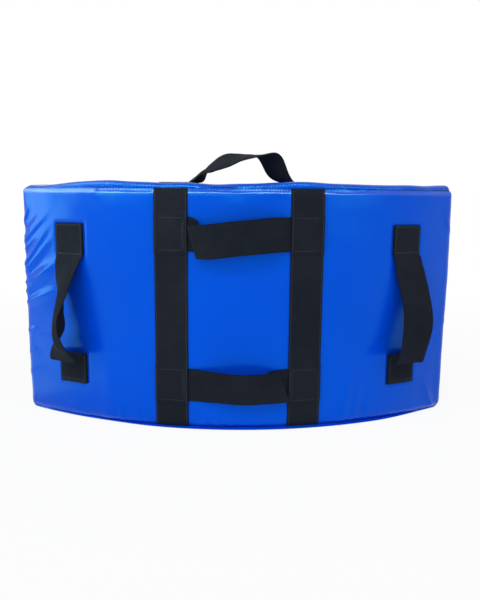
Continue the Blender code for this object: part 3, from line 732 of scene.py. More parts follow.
class Effects:
    """The effects that several finishes share, each built once as a node group."""

    WEAVE = "Plain weave"
    PUCKER = "Seam pucker"
    LINT = "Lint"
    SCUFF = "Scuffs"

    @staticmethod
    def begin(
        name: str, inputs: dict[str, float | None], outputs: Sequence[str]
    ) -> tuple[Tree, bpy.types.NodeOutputs, bpy.types.NodeInputs]:
        """Start a node group.

        Args:
            name: The group's name.
            inputs: Default value of each input, or None for a vector.
            outputs: Names of the outputs.

        Returns:
            The group's tree, what comes into it by name, and what leaves it by name.
        """
        group = bpy.data.node_groups.new(name, "ShaderNodeTree")
        for key, value in inputs.items():
            kind = "NodeSocketVector" if value is None else "NodeSocketFloat"
            socket = group.interface.new_socket(key, in_out="INPUT", socket_type=kind)
            if value is not None:
                socket.default_value = value
        for key in outputs:
            group.interface.new_socket(key, in_out="OUTPUT", socket_type="NodeSocketFloat")
        enter = group.nodes.new("NodeGroupInput").outputs
        leave = group.nodes.new("NodeGroupOutput").inputs
        return Tree(group), enter, leave

    @classmethod
    def build(cls) -> None:
        """Build all the shared effects."""
        cls.weave()
        cls.pucker()
        cls.lint()
        cls.scuff()

    @classmethod
    def weave(cls) -> None:
        """Threads that pass over and under each other."""
        inputs = {"Where": None, "Across": 0.001, "Along": 0.001}
        tree, enter, leave = cls.begin(cls.WEAVE, inputs, ("Height", "Gaps"))
        parts = tree.add("SeparateXYZ", {0: enter["Where"]})
        across = tree.math("DIVIDE", parts.outputs[0], enter["Across"])
        along = tree.math("DIVIDE", parts.outputs[1], enter["Along"])
        warp = tree.math("ABSOLUTE", tree.math("SINE", tree.math("MULTIPLY", across, pi)))
        weft = tree.math("ABSOLUTE", tree.math("SINE", tree.math("MULTIPLY", along, pi)))
        cells = tree.math("ADD", tree.math("FLOOR", across), tree.math("FLOOR", along))
        over = tree.math("FLOORED_MODULO", cells, 2.0)
        up = tree.math("MULTIPLY", warp, tree.math("POWER", weft, 0.5))
        side = tree.math("MULTIPLY", weft, tree.math("POWER", warp, 0.5))
        first = tree.math("MULTIPLY", up, over)
        second = tree.math("MULTIPLY", side, tree.math("SUBTRACT", 1.0, over))
        height = tree.math("ADD", first, tree.math("MULTIPLY", second, 0.8))
        tree.plug(height, leave["Height"])
        tree.plug(tree.remap(height, 0.0, 0.45, 1.0, 0.0), leave["Gaps"])

    @classmethod
    def pucker(cls) -> None:
        """Small gathers along a sewn edge, from a map of length along it and distance from it."""
        inputs = {"Where": None, "Pitch": 0.004, "Reach": 0.010}
        tree, enter, leave = cls.begin(cls.PUCKER, inputs, ("Height",))
        parts = tree.add("SeparateXYZ", {0: enter["Where"]})
        wander = tree.noise(enter["Where"], 70.0, 2.0)
        along = tree.math("DIVIDE", parts.outputs[0], enter["Pitch"])
        wave = tree.math("SINE", tree.math("ADD", tree.math("MULTIPLY", along, 2 * pi),
                                           tree.math("MULTIPLY", wander, 9.0)))
        share = tree.math("DIVIDE", parts.outputs[1], enter["Reach"])
        near = tree.math("POWER", tree.remap(share, 0.0, 1.0, 1.0, 0.0), 1.6)
        strength = tree.remap(tree.noise(enter["Where"], 26.0, 1.0), 0.35, 0.65, 0.15, 1.0)
        height = tree.math("MULTIPLY", tree.math("MULTIPLY", wave, near), strength)
        tree.plug(height, leave["Height"])

    @classmethod
    def lint(cls) -> None:
        """Sparse specks of dust and fibre."""
        inputs = {"Where": None, "Scale": 900.0, "Share": 0.2}
        tree, enter, leave = cls.begin(cls.LINT, inputs, ("Mask",))
        cells = tree.add("TexVoronoi", {"Vector": enter["Where"], "Scale": enter["Scale"]})
        chance = tree.add("SeparateColor", {0: cells.outputs["Color"]}).outputs[0]
        rare = tree.math("LESS_THAN", chance, enter["Share"])
        dot = tree.remap(cells.outputs["Distance"], 0.12, 0.3, 1.0, 0.0)
        tree.plug(tree.math("MULTIPLY", rare, dot), leave["Mask"])

    @classmethod
    def scuff(cls) -> None:
        """Uneven patches and faint rubbed streaks."""
        tree, enter, leave = cls.begin(cls.SCUFF, {"Where": None}, ("Patches", "Streaks"))
        patches = tree.noise(enter["Where"], 9.0, 4.0, 0.55)
        scaled = tree.vector("MULTIPLY", enter["Where"], (1.0, 1.0, 0.12))
        fine = tree.add("TexNoise", {"Vector": scaled, "Scale": 260.0, "Detail": 2.0}).outputs["Fac"]
        tree.plug(tree.remap(patches, 0.3, 0.7), leave["Patches"])
        tree.plug(tree.remap(fine, 0.62, 0.75), leave["Streaks"])


@dataclass(frozen=True)
class Finish:
    """A surface finish that can be put on pieces."""

    name: str
    slot: Slot

    def write(self, tree: Tree, shader: bpy.types.Node) -> None:
        """Write the finish's nodes round the shader."""
        raise NotImplementedError

    def material(self) -> bpy.types.Material:
        """The finish's material, built the first time that it is asked for.

        Returns:
            The material.
        """
        made = bpy.data.materials.get(self.name)
        if made is None:
            made = bpy.data.materials.new(self.name)
            made.use_nodes = True
            self.write(Tree(made.node_tree), made.node_tree.nodes["Principled BSDF"])
        return made

    def dress(self, piece: Piece) -> Piece:
        """Put the finish on a piece.

        Args:
            piece: The piece.

        Returns:
            The same piece.
        """
        piece.data.materials.clear()
        piece.data.materials.append(self.material())
        return piece

    def cover_node(self, node: Piece) -> None:
        """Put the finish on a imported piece, in the slots that it has."""
        for index in range(len(node.material_slots)):
            node.material_slots[index].material = self.material()


@dataclass(frozen=True)
class Vinyl(Finish):
    """Glossy coated fabric: a smooth skin over a faint woven base, gathered at its seams, with painted shade
    along them.
    """

    color: Color = (0.0, 0.062, 0.640)
    deep: Color = (0.0, 0.057, 0.620)
    # Painted shade: the dark navy laid into the cover's colour right beside every seam.
    seam_shade: Color = (0.0, 0.010, 0.090)
    shine: Color = (0.08, 0.90, 1.0)
    speck: Color = (0.30, 0.40, 0.70)
    rough: float = 0.17
    pitch: float = 0.0011
    coat_rise: tuple[float, float] = (0.3520, 0.3550)
    coat_fall: tuple[float, float] = (0.3600, 0.3615)
    coat_edge: tuple[float, float] = (0.0070, 0.0085)

    def write(self, tree: Tree, shader: bpy.types.Node) -> None:
        """Write the finish's nodes round the shader.

        Args:
            tree: The material's tree.
            shader: Its shader.
        """
        place = tree.place()
        cloth = tree.uv("cloth")
        scuff = tree.group(Effects.SCUFF, where=place)
        weave = tree.group(Effects.WEAVE, where=cloth, across=self.pitch, along=self.pitch)
        pucker = tree.group(Effects.PUCKER, where=tree.uv("seam"))
        lint = tree.group(Effects.LINT, where=place, scale=60.0, share=0.0012)
        patches = scuff.outputs["Patches"]
        base = tree.blend(patches, self.deep, self.color)
        base = tree.blend(lint.outputs["Mask"], base, self.speck)
        edge = tree.add("SeparateXYZ", {0: tree.uv("seam")}).outputs[1]
        # Painted shade along the seams: the colour darkens to this navy within half a millimetre of every
        # panel edge.
        base = tree.blend(tree.remap(edge, 0.0001, 0.0004, 0.55, 0.0), base, self.seam_shade)
        rough = tree.remap(patches, 0.0, 1.0, self.rough - 0.02, self.rough + 0.04)
        height = tree.add("SeparateXYZ", {0: place}).outputs[2]
        above = tree.remap(height, *self.coat_rise)
        rolled = tree.math("MULTIPLY", above, tree.remap(height, *self.coat_fall, 1.0, 0.0))
        coat = tree.math("MULTIPLY", rolled, tree.remap(edge, *self.coat_edge, 0.50, 0.0))
        tree.plug(coat, shader.inputs["Coat Weight"])
        shader.inputs["Coat Roughness"].default_value = 0.12
        shader.inputs["IOR"].default_value = 1.42
        shader.inputs["Specular Tint"].default_value = (*self.shine, 1.0)
        grain = tree.bump(0.08, 0.0004, weave.outputs["Height"])
        wavy = tree.bump(0.45, 0.0010, pucker.outputs["Height"], grain)
        slow = tree.bump(0.12, 0.002, tree.noise(place, 38.0, 2.0), wavy)
        tree.surface(shader, base, rough, slow)


@dataclass(frozen=True)
class Webbing(Finish):
    """Heavy woven tape, almost black with a blue-grey bloom."""

    dark: Color = (0.0028, 0.0042, 0.0080)
    light: Color = (0.0120, 0.0155, 0.0270)
    bloom: Color = (0.040, 0.047, 0.062)
    across: float = 0.0010
    along: float = 0.0007
    half_width: float = 0.025

    def write(self, tree: Tree, shader: bpy.types.Node) -> None:
        """Write the finish's nodes round the shader.

        Args:
            tree: The material's tree.
            shader: Its shader.
        """
        cloth = tree.uv("cloth")
        place = tree.place()
        weave = tree.group(Effects.WEAVE, where=cloth, across=self.across, along=self.along)
        lint = tree.group(Effects.LINT, where=cloth, scale=420.0, share=0.05)
        scuff = tree.group(Effects.SCUFF, where=place)
        side = tree.math("ABSOLUTE", tree.add("SeparateXYZ", {0: cloth}).outputs[0])
        edge = tree.remap(side, self.half_width - 0.0020, self.half_width - 0.0006)
        slow = tree.remap(tree.noise(place, 60.0, 4.0, 0.6), 0.35, 0.7)
        tone = tree.math("MULTIPLY", weave.outputs["Height"], tree.remap(slow, 0.0, 1.0, 0.65, 1.0))
        base = tree.blend(tone, self.dark, self.light)
        rubbed = tree.math("MULTIPLY", scuff.outputs["Patches"], 0.14)
        rubbed = tree.math("MAXIMUM", rubbed, tree.math("MULTIPLY", lint.outputs["Mask"], 0.55))
        base = tree.blend(rubbed, base, self.bloom)
        base = tree.blend(tree.math("MULTIPLY", edge, 0.5), base, self.dark)
        rough = tree.remap(tone, 0.0, 1.0, 0.88, 0.66)
        shader.inputs["Specular IOR Level"].default_value = 0.06
        shader.inputs["Sheen Weight"].default_value = 0.012
        shader.inputs["Sheen Roughness"].default_value = 0.5
        threads = tree.bump(0.55, 0.0005, weave.outputs["Height"])
        ribs = tree.math("SINE", tree.math("MULTIPLY", side, 2 * pi / 0.0062))
        tree.surface(shader, base, rough, tree.bump(0.10, 0.0008, ribs, threads))


@dataclass(frozen=True)
class Thread(Finish):
    """Twisted sewing thread."""

    color: Color = (0.032, 0.037, 0.050)
    pale: Color = (0.110, 0.120, 0.150)

    def write(self, tree: Tree, shader: bpy.types.Node) -> None:
        """Write the finish's nodes round the shader.

        Args:
            tree: The material's tree.
            shader: Its shader.
        """
        place = tree.place()
        lay = {"Vector": place, "Scale": 420.0, "Distortion": 2.0}
        twist = tree.add("TexWave", lay, bands_direction="DIAGONAL")
        shade = tree.math("MULTIPLY", twist.outputs["Fac"], tree.remap(tree.noise(place, 90.0), 0.3, 0.7))
        base = tree.blend(shade, self.color, self.pale)
        rough = tree.remap(shade, 0.0, 1.0, 0.7, 0.5)
        tree.surface(shader, base, rough, tree.bump(0.4, 0.0003, twist.outputs["Fac"]))


@dataclass(frozen=True)
class Metal(Finish):
    """Plated metal with fine handling marks and duller patches."""

    color: Color = (0.56, 0.55, 0.53)
    dull: Color = (0.36, 0.35, 0.33)

    def write(self, tree: Tree, shader: bpy.types.Node) -> None:
        """Write the finish's nodes round the shader.

        Args:
            tree: The material's tree.
            shader: Its shader.
        """
        place = tree.place()
        scuff = tree.group(Effects.SCUFF, where=place)
        fine = tree.noise(place, 900.0, 4.0, 0.6)
        worn = tree.remap(tree.noise(place, 240.0, 3.0), 0.45, 0.7)
        base = tree.blend(worn, self.color, self.dull)
        shader.inputs["Metallic"].default_value = 1.0
        rough = tree.math("ADD", tree.remap(fine, 0.3, 0.7, 0.18, 0.34),
                          tree.math("MULTIPLY", scuff.outputs["Streaks"], 0.2))
        tree.surface(shader, base, rough, tree.bump(0.12, 0.0002, fine))


@dataclass(frozen=True)
class Moulded(Finish):
    """Moulded plastic with a fine grain."""

    color: Color = (0.012, 0.012, 0.015)
    worn: Color = (0.045, 0.046, 0.052)
    grain: float = 1400.0

    def write(self, tree: Tree, shader: bpy.types.Node) -> None:
        """Write the finish's nodes round the shader.

        Args:
            tree: The material's tree.
            shader: Its shader.
        """
        place = tree.place()
        rub = tree.remap(tree.noise(place, 160.0, 4.0), 0.5, 0.72)
        base = tree.blend(rub, self.color, self.worn)
        rough = tree.remap(rub, 0.0, 1.0, 0.34, 0.55)
        grain = tree.noise(place, self.grain, 2.0)
        tree.surface(shader, base, rough, tree.bump(0.15, 0.0002, grain))


@dataclass(frozen=True)
class Tape(Finish):
    """The zip's fine woven tape."""

    dark: Color = (0.008, 0.008, 0.010)
    light: Color = (0.030, 0.031, 0.036)

    def write(self, tree: Tree, shader: bpy.types.Node) -> None:
        """Write the finish's nodes round the shader.

        Args:
            tree: The material's tree.
            shader: Its shader.
        """
        place = tree.place()
        parts = tree.add("SeparateXYZ", {0: place})
        level = tree.math("ADD", parts.outputs[0], parts.outputs[1])
        cloth = tree.add("CombineXYZ", {0: level, 1: parts.outputs[2]}).outputs[0]
        weave = tree.group(Effects.WEAVE, where=cloth, across=0.0006, along=0.0006)
        base = tree.blend(weave.outputs["Height"], self.dark, self.light)
        rough = tree.remap(weave.outputs["Gaps"], 0.0, 1.0, 0.75, 0.95)
        tree.surface(shader, base, rough, tree.bump(0.5, 0.0003, weave.outputs["Height"]))


@dataclass(frozen=True)
class Foam(Finish):
    """Open-cell foam."""

    color: Color = (0.32, 0.32, 0.31)
    pore: Color = (0.16, 0.16, 0.155)

    def write(self, tree: Tree, shader: bpy.types.Node) -> None:
        """Write the finish's nodes round the shader.

        Args:
            tree: The material's tree.
            shader: Its shader.
        """
        place = tree.place()
        cells = tree.add("TexVoronoi", {"Vector": place, "Scale": 700.0})
        depth = tree.remap(cells.outputs["Distance"], 0.0, 0.6)
        base = tree.blend(depth, self.pore, self.color)
        rough = tree.remap(depth, 0.0, 1.0, 0.98, 0.88)
        tree.surface(shader, base, rough, tree.bump(0.7, 0.0008, depth))


@dataclass(frozen=True)
class Lining(Finish):
    """The woven reverse of the coated fabric."""

    dark: Color = (0.0, 0.040, 0.340)
    light: Color = (0.010, 0.085, 0.560)

    def write(self, tree: Tree, shader: bpy.types.Node) -> None:
        """Write the finish's nodes round the shader.

        Args:
            tree: The material's tree.
            shader: Its shader.
        """
        parts = tree.add("SeparateXYZ", {0: tree.place()})
        cloth = tree.add("CombineXYZ", {0: parts.outputs[0], 1: parts.outputs[2]}).outputs[0]
        weave = tree.group(Effects.WEAVE, where=cloth, across=0.0012, along=0.0012)
        base = tree.blend(weave.outputs["Height"], self.dark, self.light)
        rough = tree.remap(weave.outputs["Gaps"], 0.0, 1.0, 0.7, 0.9)
        tree.surface(shader, base, rough, tree.bump(0.5, 0.0005, weave.outputs["Height"]))


@dataclass(frozen=True)
class Finishes:
    """Every finish on the shield."""

    vinyl: Vinyl = Vinyl("blue_coated_fabric", Slot.COVER)
    webbing: Webbing = Webbing("black_webbing", Slot.WEBBING)
    dark_thread: Thread = Thread("black_thread", Slot.WEBBING)
    blue_thread: Thread = Thread("navy_thread", Slot.COVER, (0.0, 0.014, 0.085), (0.0, 0.035, 0.20))
    nickel: Metal = Metal("nickel_plate", Slot.NICKEL)
    teeth: Moulded = Moulded("black_moulding", Slot.ZIP_TEETH)
    tape: Tape = Tape("zip_tape_cloth", Slot.ZIP_TAPE)
    foam: Foam = Foam("grey_foam", Slot.FOAM)
    soft_foam: Foam = Foam("white_foam", Slot.IMPACT_FOAM, (0.72, 0.71, 0.66), (0.45, 0.44, 0.40))
    lining: Lining = Lining("blue_lining", Slot.LINING)


@dataclass
class Stitching:
    """Lock stitches: one is modelled, and every run of stitching is made of copies of it."""

    length: float = 0.0026
    width: float = 0.00055
    pitch: float = 0.0036
    lift: float = 0.0001
    margin: float = 0.0026
    pattern: bpy.types.Mesh | None = None

    def stitch(self) -> bpy.types.Mesh:
        """One stitch that lies along X: a short grain of thread with its ends pulled down.

        Returns:
            Its mesh.
        """
        if self.pattern is None:
            turn = (0, pi / 2, 0)
            bpy.ops.mesh.primitive_uv_sphere_add(segments=8, ring_count=6, radius=0.5, rotation=turn)
            piece = Bench.named("stitch")
            Bench.settle(piece)
            points = Bench.corners(piece) * (self.length, self.width, self.width)
            points[:, 2] -= self.width * 0.9 * (2 * points[:, 0] / self.length) ** 2
            Bench.put(piece, points)
            Bench.smooth(piece, 180.0)
            self.pattern = piece.data.copy()
            bpy.data.objects.remove(piece)
        return self.pattern

    def run(self, name: str, paths: Sequence[Array], outs: Sequence[Array], finish: Finish) -> Piece:
        """Runs of stitching joined into one piece that rides on the shield.

        Args:
            name: The piece's name.
            paths: The points that each run follows.
            outs: The direction away from the cloth at each of those points.
            finish: The thread's finish.

        Returns:
            The piece.
        """
        pattern = self.stitch()
        count = len(pattern.vertices)
        shape = np.zeros(count * 3)
        pattern.vertices.foreach_get("co", shape)
        shape = shape.reshape(-1, 3)
        made = []
        places = []
        for path, out in zip(paths, outs):
            steps = np.linalg.norm(np.diff(path, axis=0), axis=1)
            lengths = np.concatenate(([0.0], np.cumsum(steps)))
            number = max(1, int(lengths[-1] / self.pitch))
            at = (np.arange(number) + 0.5) * lengths[-1] / number
            for spot in at:
                ahead = [np.interp(spot + self.pitch / 3, lengths, path[:, k]) for k in range(3)]
                behind = [np.interp(spot - self.pitch / 3, lengths, path[:, k]) for k in range(3)]
                here = [np.interp(spot, lengths, path[:, k]) for k in range(3)]
                up = Vector([np.interp(spot, lengths, out[:, k]) for k in range(3)]).normalized()
                along = (Vector(ahead) - Vector(behind)).normalized()
                side = up.cross(along).normalized()
                turn = np.array((along, side, along.cross(side))).T
                places.append(shape @ turn.T + np.array(here))
        for points in places:
            copy = Bench.linked(name, pattern.copy())
            Bench.put(copy, points)
            made.append(copy)
        piece = Bench.join(name, made)
        finish.dress(piece)
        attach(piece, Body.SHIELD.value)
        log.info("%s: %d stitches", name, len(places))
        return piece


@dataclass(frozen=True)
class Sheet:
    """A panel's surface: its smooth shape with folds and swells laid over it.

    Attributes:
        form: The shield's form, which rounds the corners.
        place: The smooth shape.
        relief: Height of the folds and swells over it.
        facing: 1 if the first and second directions turn anticlockwise seen from outside, or -1.
    """

    form: ShieldForm
    place: Place
    relief: Place
    facing: int

    def directions(self, first: Array, second: Array) -> tuple[Array, Array, Array]:
        """The smooth shape's unit directions along the first and second coordinate, and outwards.

        Args:
            first: First coordinate on the panel.
            second: Second coordinate on the panel.

        Returns:
            The three directions at each point.
        """
        reach = 0.0005
        along = self.place(first + reach, second) - self.place(first - reach, second)
        up = self.place(first, second + reach) - self.place(first, second - reach)
        along /= np.linalg.norm(along, axis=-1, keepdims=True)
        up /= np.linalg.norm(up, axis=-1, keepdims=True)
        out = np.cross(along, up) * self.facing
        return along, up, out / np.linalg.norm(out, axis=-1, keepdims=True)

    def points(self, first: Array, second: Array) -> Array:
        """Points of the finished surface."""
        out = self.directions(first, second)[2]
        return self.form.settled(self.place(first, second) + out * self.relief(first, second)[..., None])

    def outs(self, first: Array, second: Array) -> Array:
        """Directions straight out of the finished surface.

        Args:
            first: First coordinate on the panel.
            second: Second coordinate on the panel.

        Returns:
            The direction at each point.
        """
        reach = 0.0004
        along = self.points(first + reach, second) - self.points(first - reach, second)
        up = self.points(first, second + reach) - self.points(first, second - reach)
        out = np.cross(along, up) * self.facing
        return out / np.linalg.norm(out, axis=-1, keepdims=True)


def plump(edge: Array, rise: float = 0.0030, fall: float = 0.0250) -> Array:
    """How padding swells beside a seam: nothing in the seam, full close to it, fading inwards."""
    return (1.0 - np.exp(-np.clip(edge, 0.0, None) / rise)) * np.exp(-np.clip(edge, 0.0, None) / fall)


def within(value: Array, low: float, high: float, soft: float) -> Array:
    """1 between two values and 0 a little way outside them."""
    return ease(value, low - soft, low) * (1.0 - ease(value, high, high + soft))


def hump(value: Array, middle: float, width: float) -> Array:
    """A smooth bump of height 1 round a value."""
    return np.exp(-(((value - middle) / width) ** 2))


@dataclass
class Cover:
    """The six coated fabric panels, sewn edge to edge."""

    form: ShieldForm
    finishes: Finishes
    stitching: Stitching
    skin: float = 0.0008
    allowance: float = 0.0030
    gap: float = 0.00015
    fine: float = 0.0011
    step: float = 0.0036
    strap_press: tuple[float, float] = (0.076, 0.124)
    patch_press: tuple[float, float] = (0.2425, 0.2895)
    low_press: tuple[float, float] = (0.0600, 0.1080)
    high_press: tuple[float, float] = (0.2610, 0.3085)
    press_soft: float = 0.006
    press_depth: float = 0.0002
    crease_height: float = 0.1325
    crease_width: float = 0.0017
    crease_depth: float = 0.00050
    end_swell: float = 0.0020
    top_swell: float = 0.00093
    bulge: float = 0.0012
    folds: tuple[Fold, ...] = (
        Fold((-0.3620, 0.3080), (-0.3470, 0.3390), 0.0030, 0.0016),
        Fold((-0.3600, 0.2860), (-0.3210, 0.3250), 0.0032, 0.0018),
        Fold((-0.3600, 0.2780), (-0.3040, 0.3280), 0.0040, 0.0026),
        Fold((-0.3600, 0.2660), (-0.3090, 0.3070), 0.0034, 0.0018),
        Fold((-0.3610, 0.2400), (-0.3010, 0.3100), 0.0046, 0.0034),
        Fold((-0.3600, 0.2290), (-0.2930, 0.2950), 0.0040, 0.0024),
        Fold((-0.3600, 0.2120), (-0.2920, 0.2480), 0.0042, 0.0030),
        Fold((-0.3600, 0.1970), (-0.2870, 0.2550), 0.0044, 0.0028),
        Fold((-0.3600, 0.1790), (-0.2940, 0.2070), 0.0044, 0.0024),
        Fold((-0.3620, 0.1320), (-0.3320, 0.1370), 0.0034, 0.0018),
        Fold((-0.3600, 0.0960), (-0.3300, 0.1000), 0.0040, 0.0010),
        Fold((-0.3590, 0.0620), (-0.3250, 0.0740), 0.0050, 0.0011),
        Fold((-0.2080, 0.0100), (-0.2020, 0.1150), 0.0098, 0.0022),
        Fold((-0.1970, 0.0080), (-0.1920, 0.0900), 0.0057, 0.0020),
        Fold((-0.1820, 0.0070), (-0.1860, 0.0480), 0.0037, 0.0029),
        Fold((-0.1560, 0.0070), (-0.1540, 0.0400), 0.0039, 0.0018),
        Fold((-0.0520, 0.0070), (-0.0490, 0.0300), 0.0039, 0.0020),
        Fold((-0.0330, 0.0070), (-0.0300, 0.0380), 0.0041, 0.0029),
        Fold((-0.0090, 0.0070), (-0.0100, 0.0320), 0.0039, 0.0025),
        Fold((0.0110, 0.0070), (0.0120, 0.0300), 0.0037, 0.0022),
        Fold((0.0310, 0.0070), (0.0320, 0.0340), 0.0044, 0.0023),
        Fold((0.0540, 0.0070), (0.0530, 0.0270), 0.0037, 0.0016),
        Fold((0.1610, 0.0080), (0.1830, 0.1050), 0.0060, 0.0031),
        Fold((0.1800, 0.0080), (0.1950, 0.0850), 0.0051, 0.0022),
        Fold((0.2050, 0.0080), (0.2130, 0.0600), 0.0057, 0.0014),
        Fold((0.3400, 0.0080), (0.3160, 0.0640), 0.0069, 0.0018),
        Fold((0.3620, 0.3000), (0.3420, 0.3300), 0.0034, 0.0011),
        Fold((0.3620, 0.1500), (0.3380, 0.1600), 0.0038, 0.0009),
        Fold((-0.2210, 0.3590), (-0.2090, 0.3430), 0.0028, 0.0010),
    )
    hit_folds: tuple[Fold, ...] = (
        Fold((-0.2920, 0.2500), (-0.2200, 0.2900), 0.0064, 0.0018),
        Fold((-0.2920, 0.2200), (-0.2350, 0.2400), 0.0050, 0.0013),
        Fold((-0.2920, 0.1500), (-0.2200, 0.1300), 0.0066, 0.0016),
        Fold((0.2920, 0.2700), (0.2250, 0.2300), 0.0070, 0.0018),
        Fold((0.2920, 0.1700), (0.2400, 0.1800), 0.0050, 0.0012),
        Fold((0.2920, 0.0900), (0.2300, 0.1250), 0.0064, 0.0015),
        Fold((0.0600, 0.3590), (0.0500, 0.3100), 0.0050, 0.0012),
        Fold((-0.0900, 0.3590), (-0.0950, 0.3200), 0.0050, 0.0011),
        Fold((-0.0300, 0.0080), (-0.0250, 0.0500), 0.0057, 0.0022),
        Fold((0.1300, 0.0080), (0.1350, 0.0450), 0.0053, 0.0020),
    )

    def stations(self, low: float, high: float) -> Array:
        """Values from one seam to the other, closer together near the seams.

        Args:
            low: Where the first seam is.
            high: Where the other one is.

        Returns:
            The values.
        """
        spots = np.linspace(low, high, 4001)
        edge = np.minimum(spots - low, high - spots)
        pace = self.fine + (self.step - self.fine) * ease(edge, 0.0, 0.100)
        count = np.concatenate(([0.0], np.cumsum(np.diff(spots) / pace[:-1])))
        return np.interp(np.linspace(0.0, count[-1], max(8, round(count[-1])) + 1), count, spots)

    def panel(self, name: str, firsts: Array, seconds: Array, sheet: Sheet) -> Piece:
        """One panel: a fine sheet with its edges turned in along the seams, and given its thickness.

        Args:
            name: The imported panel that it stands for.
            firsts: Values of the first coordinate, from seam to seam.
            seconds: Values of the second coordinate, from seam to seam.
            sheet: The panel's surface.

        Returns:
            The panel.
        """
        columns = len(firsts) + 2
        rows = len(seconds) + 2
        piece = Bench.grid(name + "_cloth", columns, rows)
        column, row = Bench.indices(piece, columns, rows)
        first = firsts[np.clip(column - 1, 0, len(firsts) - 1)]
        second = seconds[np.clip(row - 1, 0, len(seconds) - 1)]
        aside = (column == columns - 1).astype(float) - (column == 0)
        above = (row == rows - 1).astype(float) - (row == 0)
        along, up, out = sheet.directions(first, second)
        points = sheet.points(first, second)
        turned = np.maximum(np.abs(aside), np.abs(above))[:, None]
        tuck = -out * turned - along * aside[:, None] - up * above[:, None]
        points += tuck * self.allowance * 0.7
        Bench.put(piece, points)
        if sheet.facing < 0:
            Bench.edit(piece, bpy.ops.mesh.flip_normals)
        Bench.unwrap(piece, "cloth", np.stack((first, second), axis=1))
        ends = np.minimum(first - firsts[0], firsts[-1] - first)
        sides = np.minimum(second - seconds[0], seconds[-1] - second)
        run = np.where(ends < sides, second + 5.0, first)
        Bench.unwrap(piece, "seam", np.stack((run, np.minimum(ends, sides)), axis=1))
        Bench.modify(piece, "SOLIDIFY", thickness=self.skin, offset=-1.0)
        Bench.smooth(piece, 60.0)
        return piece

    def finish_panel(self, piece: Piece, node: str) -> Piece:
        """Dress a panel and let it stand for its packed one.

        Args:
            piece: The panel.
            node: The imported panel's name.

        Returns:
            The same panel.
        """
        self.finishes.vinyl.dress(piece)
        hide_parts(node)
        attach(piece, Body.SHIELD.value)
        log.info("%s: %d faces", piece.name, len(piece.data.polygons))
        return piece

    def held(self, along: Array, height: Array) -> Array:
        """1 where webbing is sewn down on the holder's face and presses the cloth flat.

        Args:
            along: Length along the face.
            height: Height.

        Returns:
            A value from 0 to 1 at each point.
        """
        aside = np.abs(along)
        strap = within(aside, *self.strap_press, self.press_soft)
        patch = within(aside, *self.patch_press, self.press_soft)
        low = within(height, *self.low_press, self.press_soft)
        high = within(height, *self.high_press, self.press_soft)
        return np.maximum(strap, patch * np.maximum(low, high))

    def face_relief(self, along: Array, height: Array) -> Array:
        """Folds, swells beside the seams and between the straps, and a faint level crease.

        Args:
            along: Length along the face.
            height: Height.

        Returns:
            The height at each point.
        """
        form = self.form
        total = np.zeros(np.broadcast(along, height).shape)
        for fold in self.folds:
            total += fold.lift(along, height)
        total *= 1.0 + 0.40 * ease(-along, 0.240, 0.290)
        ends = form.half_sweep * form.face_radius - np.abs(along)
        bottom = height - form.seam_low
        total *= (0.45 + 0.55 * ease(ends, 0.0, 0.009)) * (0.15 + 0.85 * ease(bottom, 0.0, 0.008))
        top = form.seam_high - height
        edge = np.minimum(ends, np.minimum(bottom, top))
        calm = ease(edge, 0.0, 0.008)
        swell = self.top_swell * ease(top, 0.0030, 0.0100) * np.exp(-top / 0.060) * ease(ends, 0.0, 0.012)
        swell = np.maximum(swell, self.end_swell * plump(ends))
        low = 0.0016 + 0.0010 * hump(along, 0.040, 0.200)
        swell = np.maximum(swell, low * plump(bottom, 0.0032, 0.0320))
        middle = np.clip(1.0 - (along / 0.072) ** 2, 0.0, None)
        outer = np.clip(1.0 - ((np.abs(along) - 0.235) / 0.108) ** 2, 0.0, None)
        total += swell + self.bulge * (middle + outer) * ease(edge, 0.002, 0.030)
        gather = top - 0.0068 - 0.0008 * ripple(along, 0.0, 0.050, 21)
        total += 0.00032 * hump(gather, 0.0, 0.0013) * ease(ends, 0.010, 0.040)
        total += 0.0004 * ripple(along, height, 0.090, 3) * calm
        total += 0.00025 * ripple(along, height, 0.034, 4) * hump(edge, 0.012, 0.020)
        level = self.crease_height + 0.0006 * np.sin(along * 28.0)
        total -= self.crease_depth * hump(height, level, self.crease_width) * calm
        held = self.held(along, height)
        return total * (1.0 - held) - self.press_depth * held

    def hit_relief(self, along: Array, height: Array) -> Array:
        """Folds and gentle unevenness of the hit face.

        Args:
            along: Length along the face.
            height: Height.

        Returns:
            The height at each point.
        """
        form = self.form
        total = np.zeros(np.broadcast(along, height).shape)
        for fold in self.hit_folds:
            total += fold.lift(along, height)
        reach = form.half_sweep * form.hit_radius
        edge = np.minimum(reach - np.abs(along), np.minimum(height - form.seam_low, form.seam_high - height))
        total += 0.0022 * plump(edge) + 0.00025 * ripple(along, height, 0.034, 6) * hump(edge, 0.012, 0.020)
        return total + 0.0006 * ripple(along, height, 0.110, 5) * ease(edge, 0.002, 0.030)

    def build_faces(self) -> None:
        """The holder's face and the hit face."""
        form = self.form
        heights = self.stations(form.seam_low + self.gap, form.seam_high - self.gap)

        def face(along: Array, height: Array) -> Array:
            """Points of the holder's face."""
            angle = along / form.face_radius
            return form.on_arc(angle, form.face_radius + form.face_out(angle, height), height)

        def hit(along: Array, height: Array) -> Array:
            """Points of the hit face.

            Args:
                along: Length along the face.
                height: Height.

            Returns:
                One row of X, Y and Z for each point.
            """
            angle = along / form.hit_radius
            ends = form.end_rolls(angle, form.hit_radius, form.hit_roll)
            edge = form.edge(ends, form.height_rolls(height, form.hit_roll))
            across = (height - form.seam_low - form.seam_height / 2) / (form.seam_height / 2)
            swell = (1.0 - (angle / form.half_sweep) ** 2) * (1.0 - across**2)
            radius = form.hit_radius + form.hit_draw * edge - form.hit_crown * np.clip(swell, 0.0, None)
            return form.on_arc(angle, radius, height)

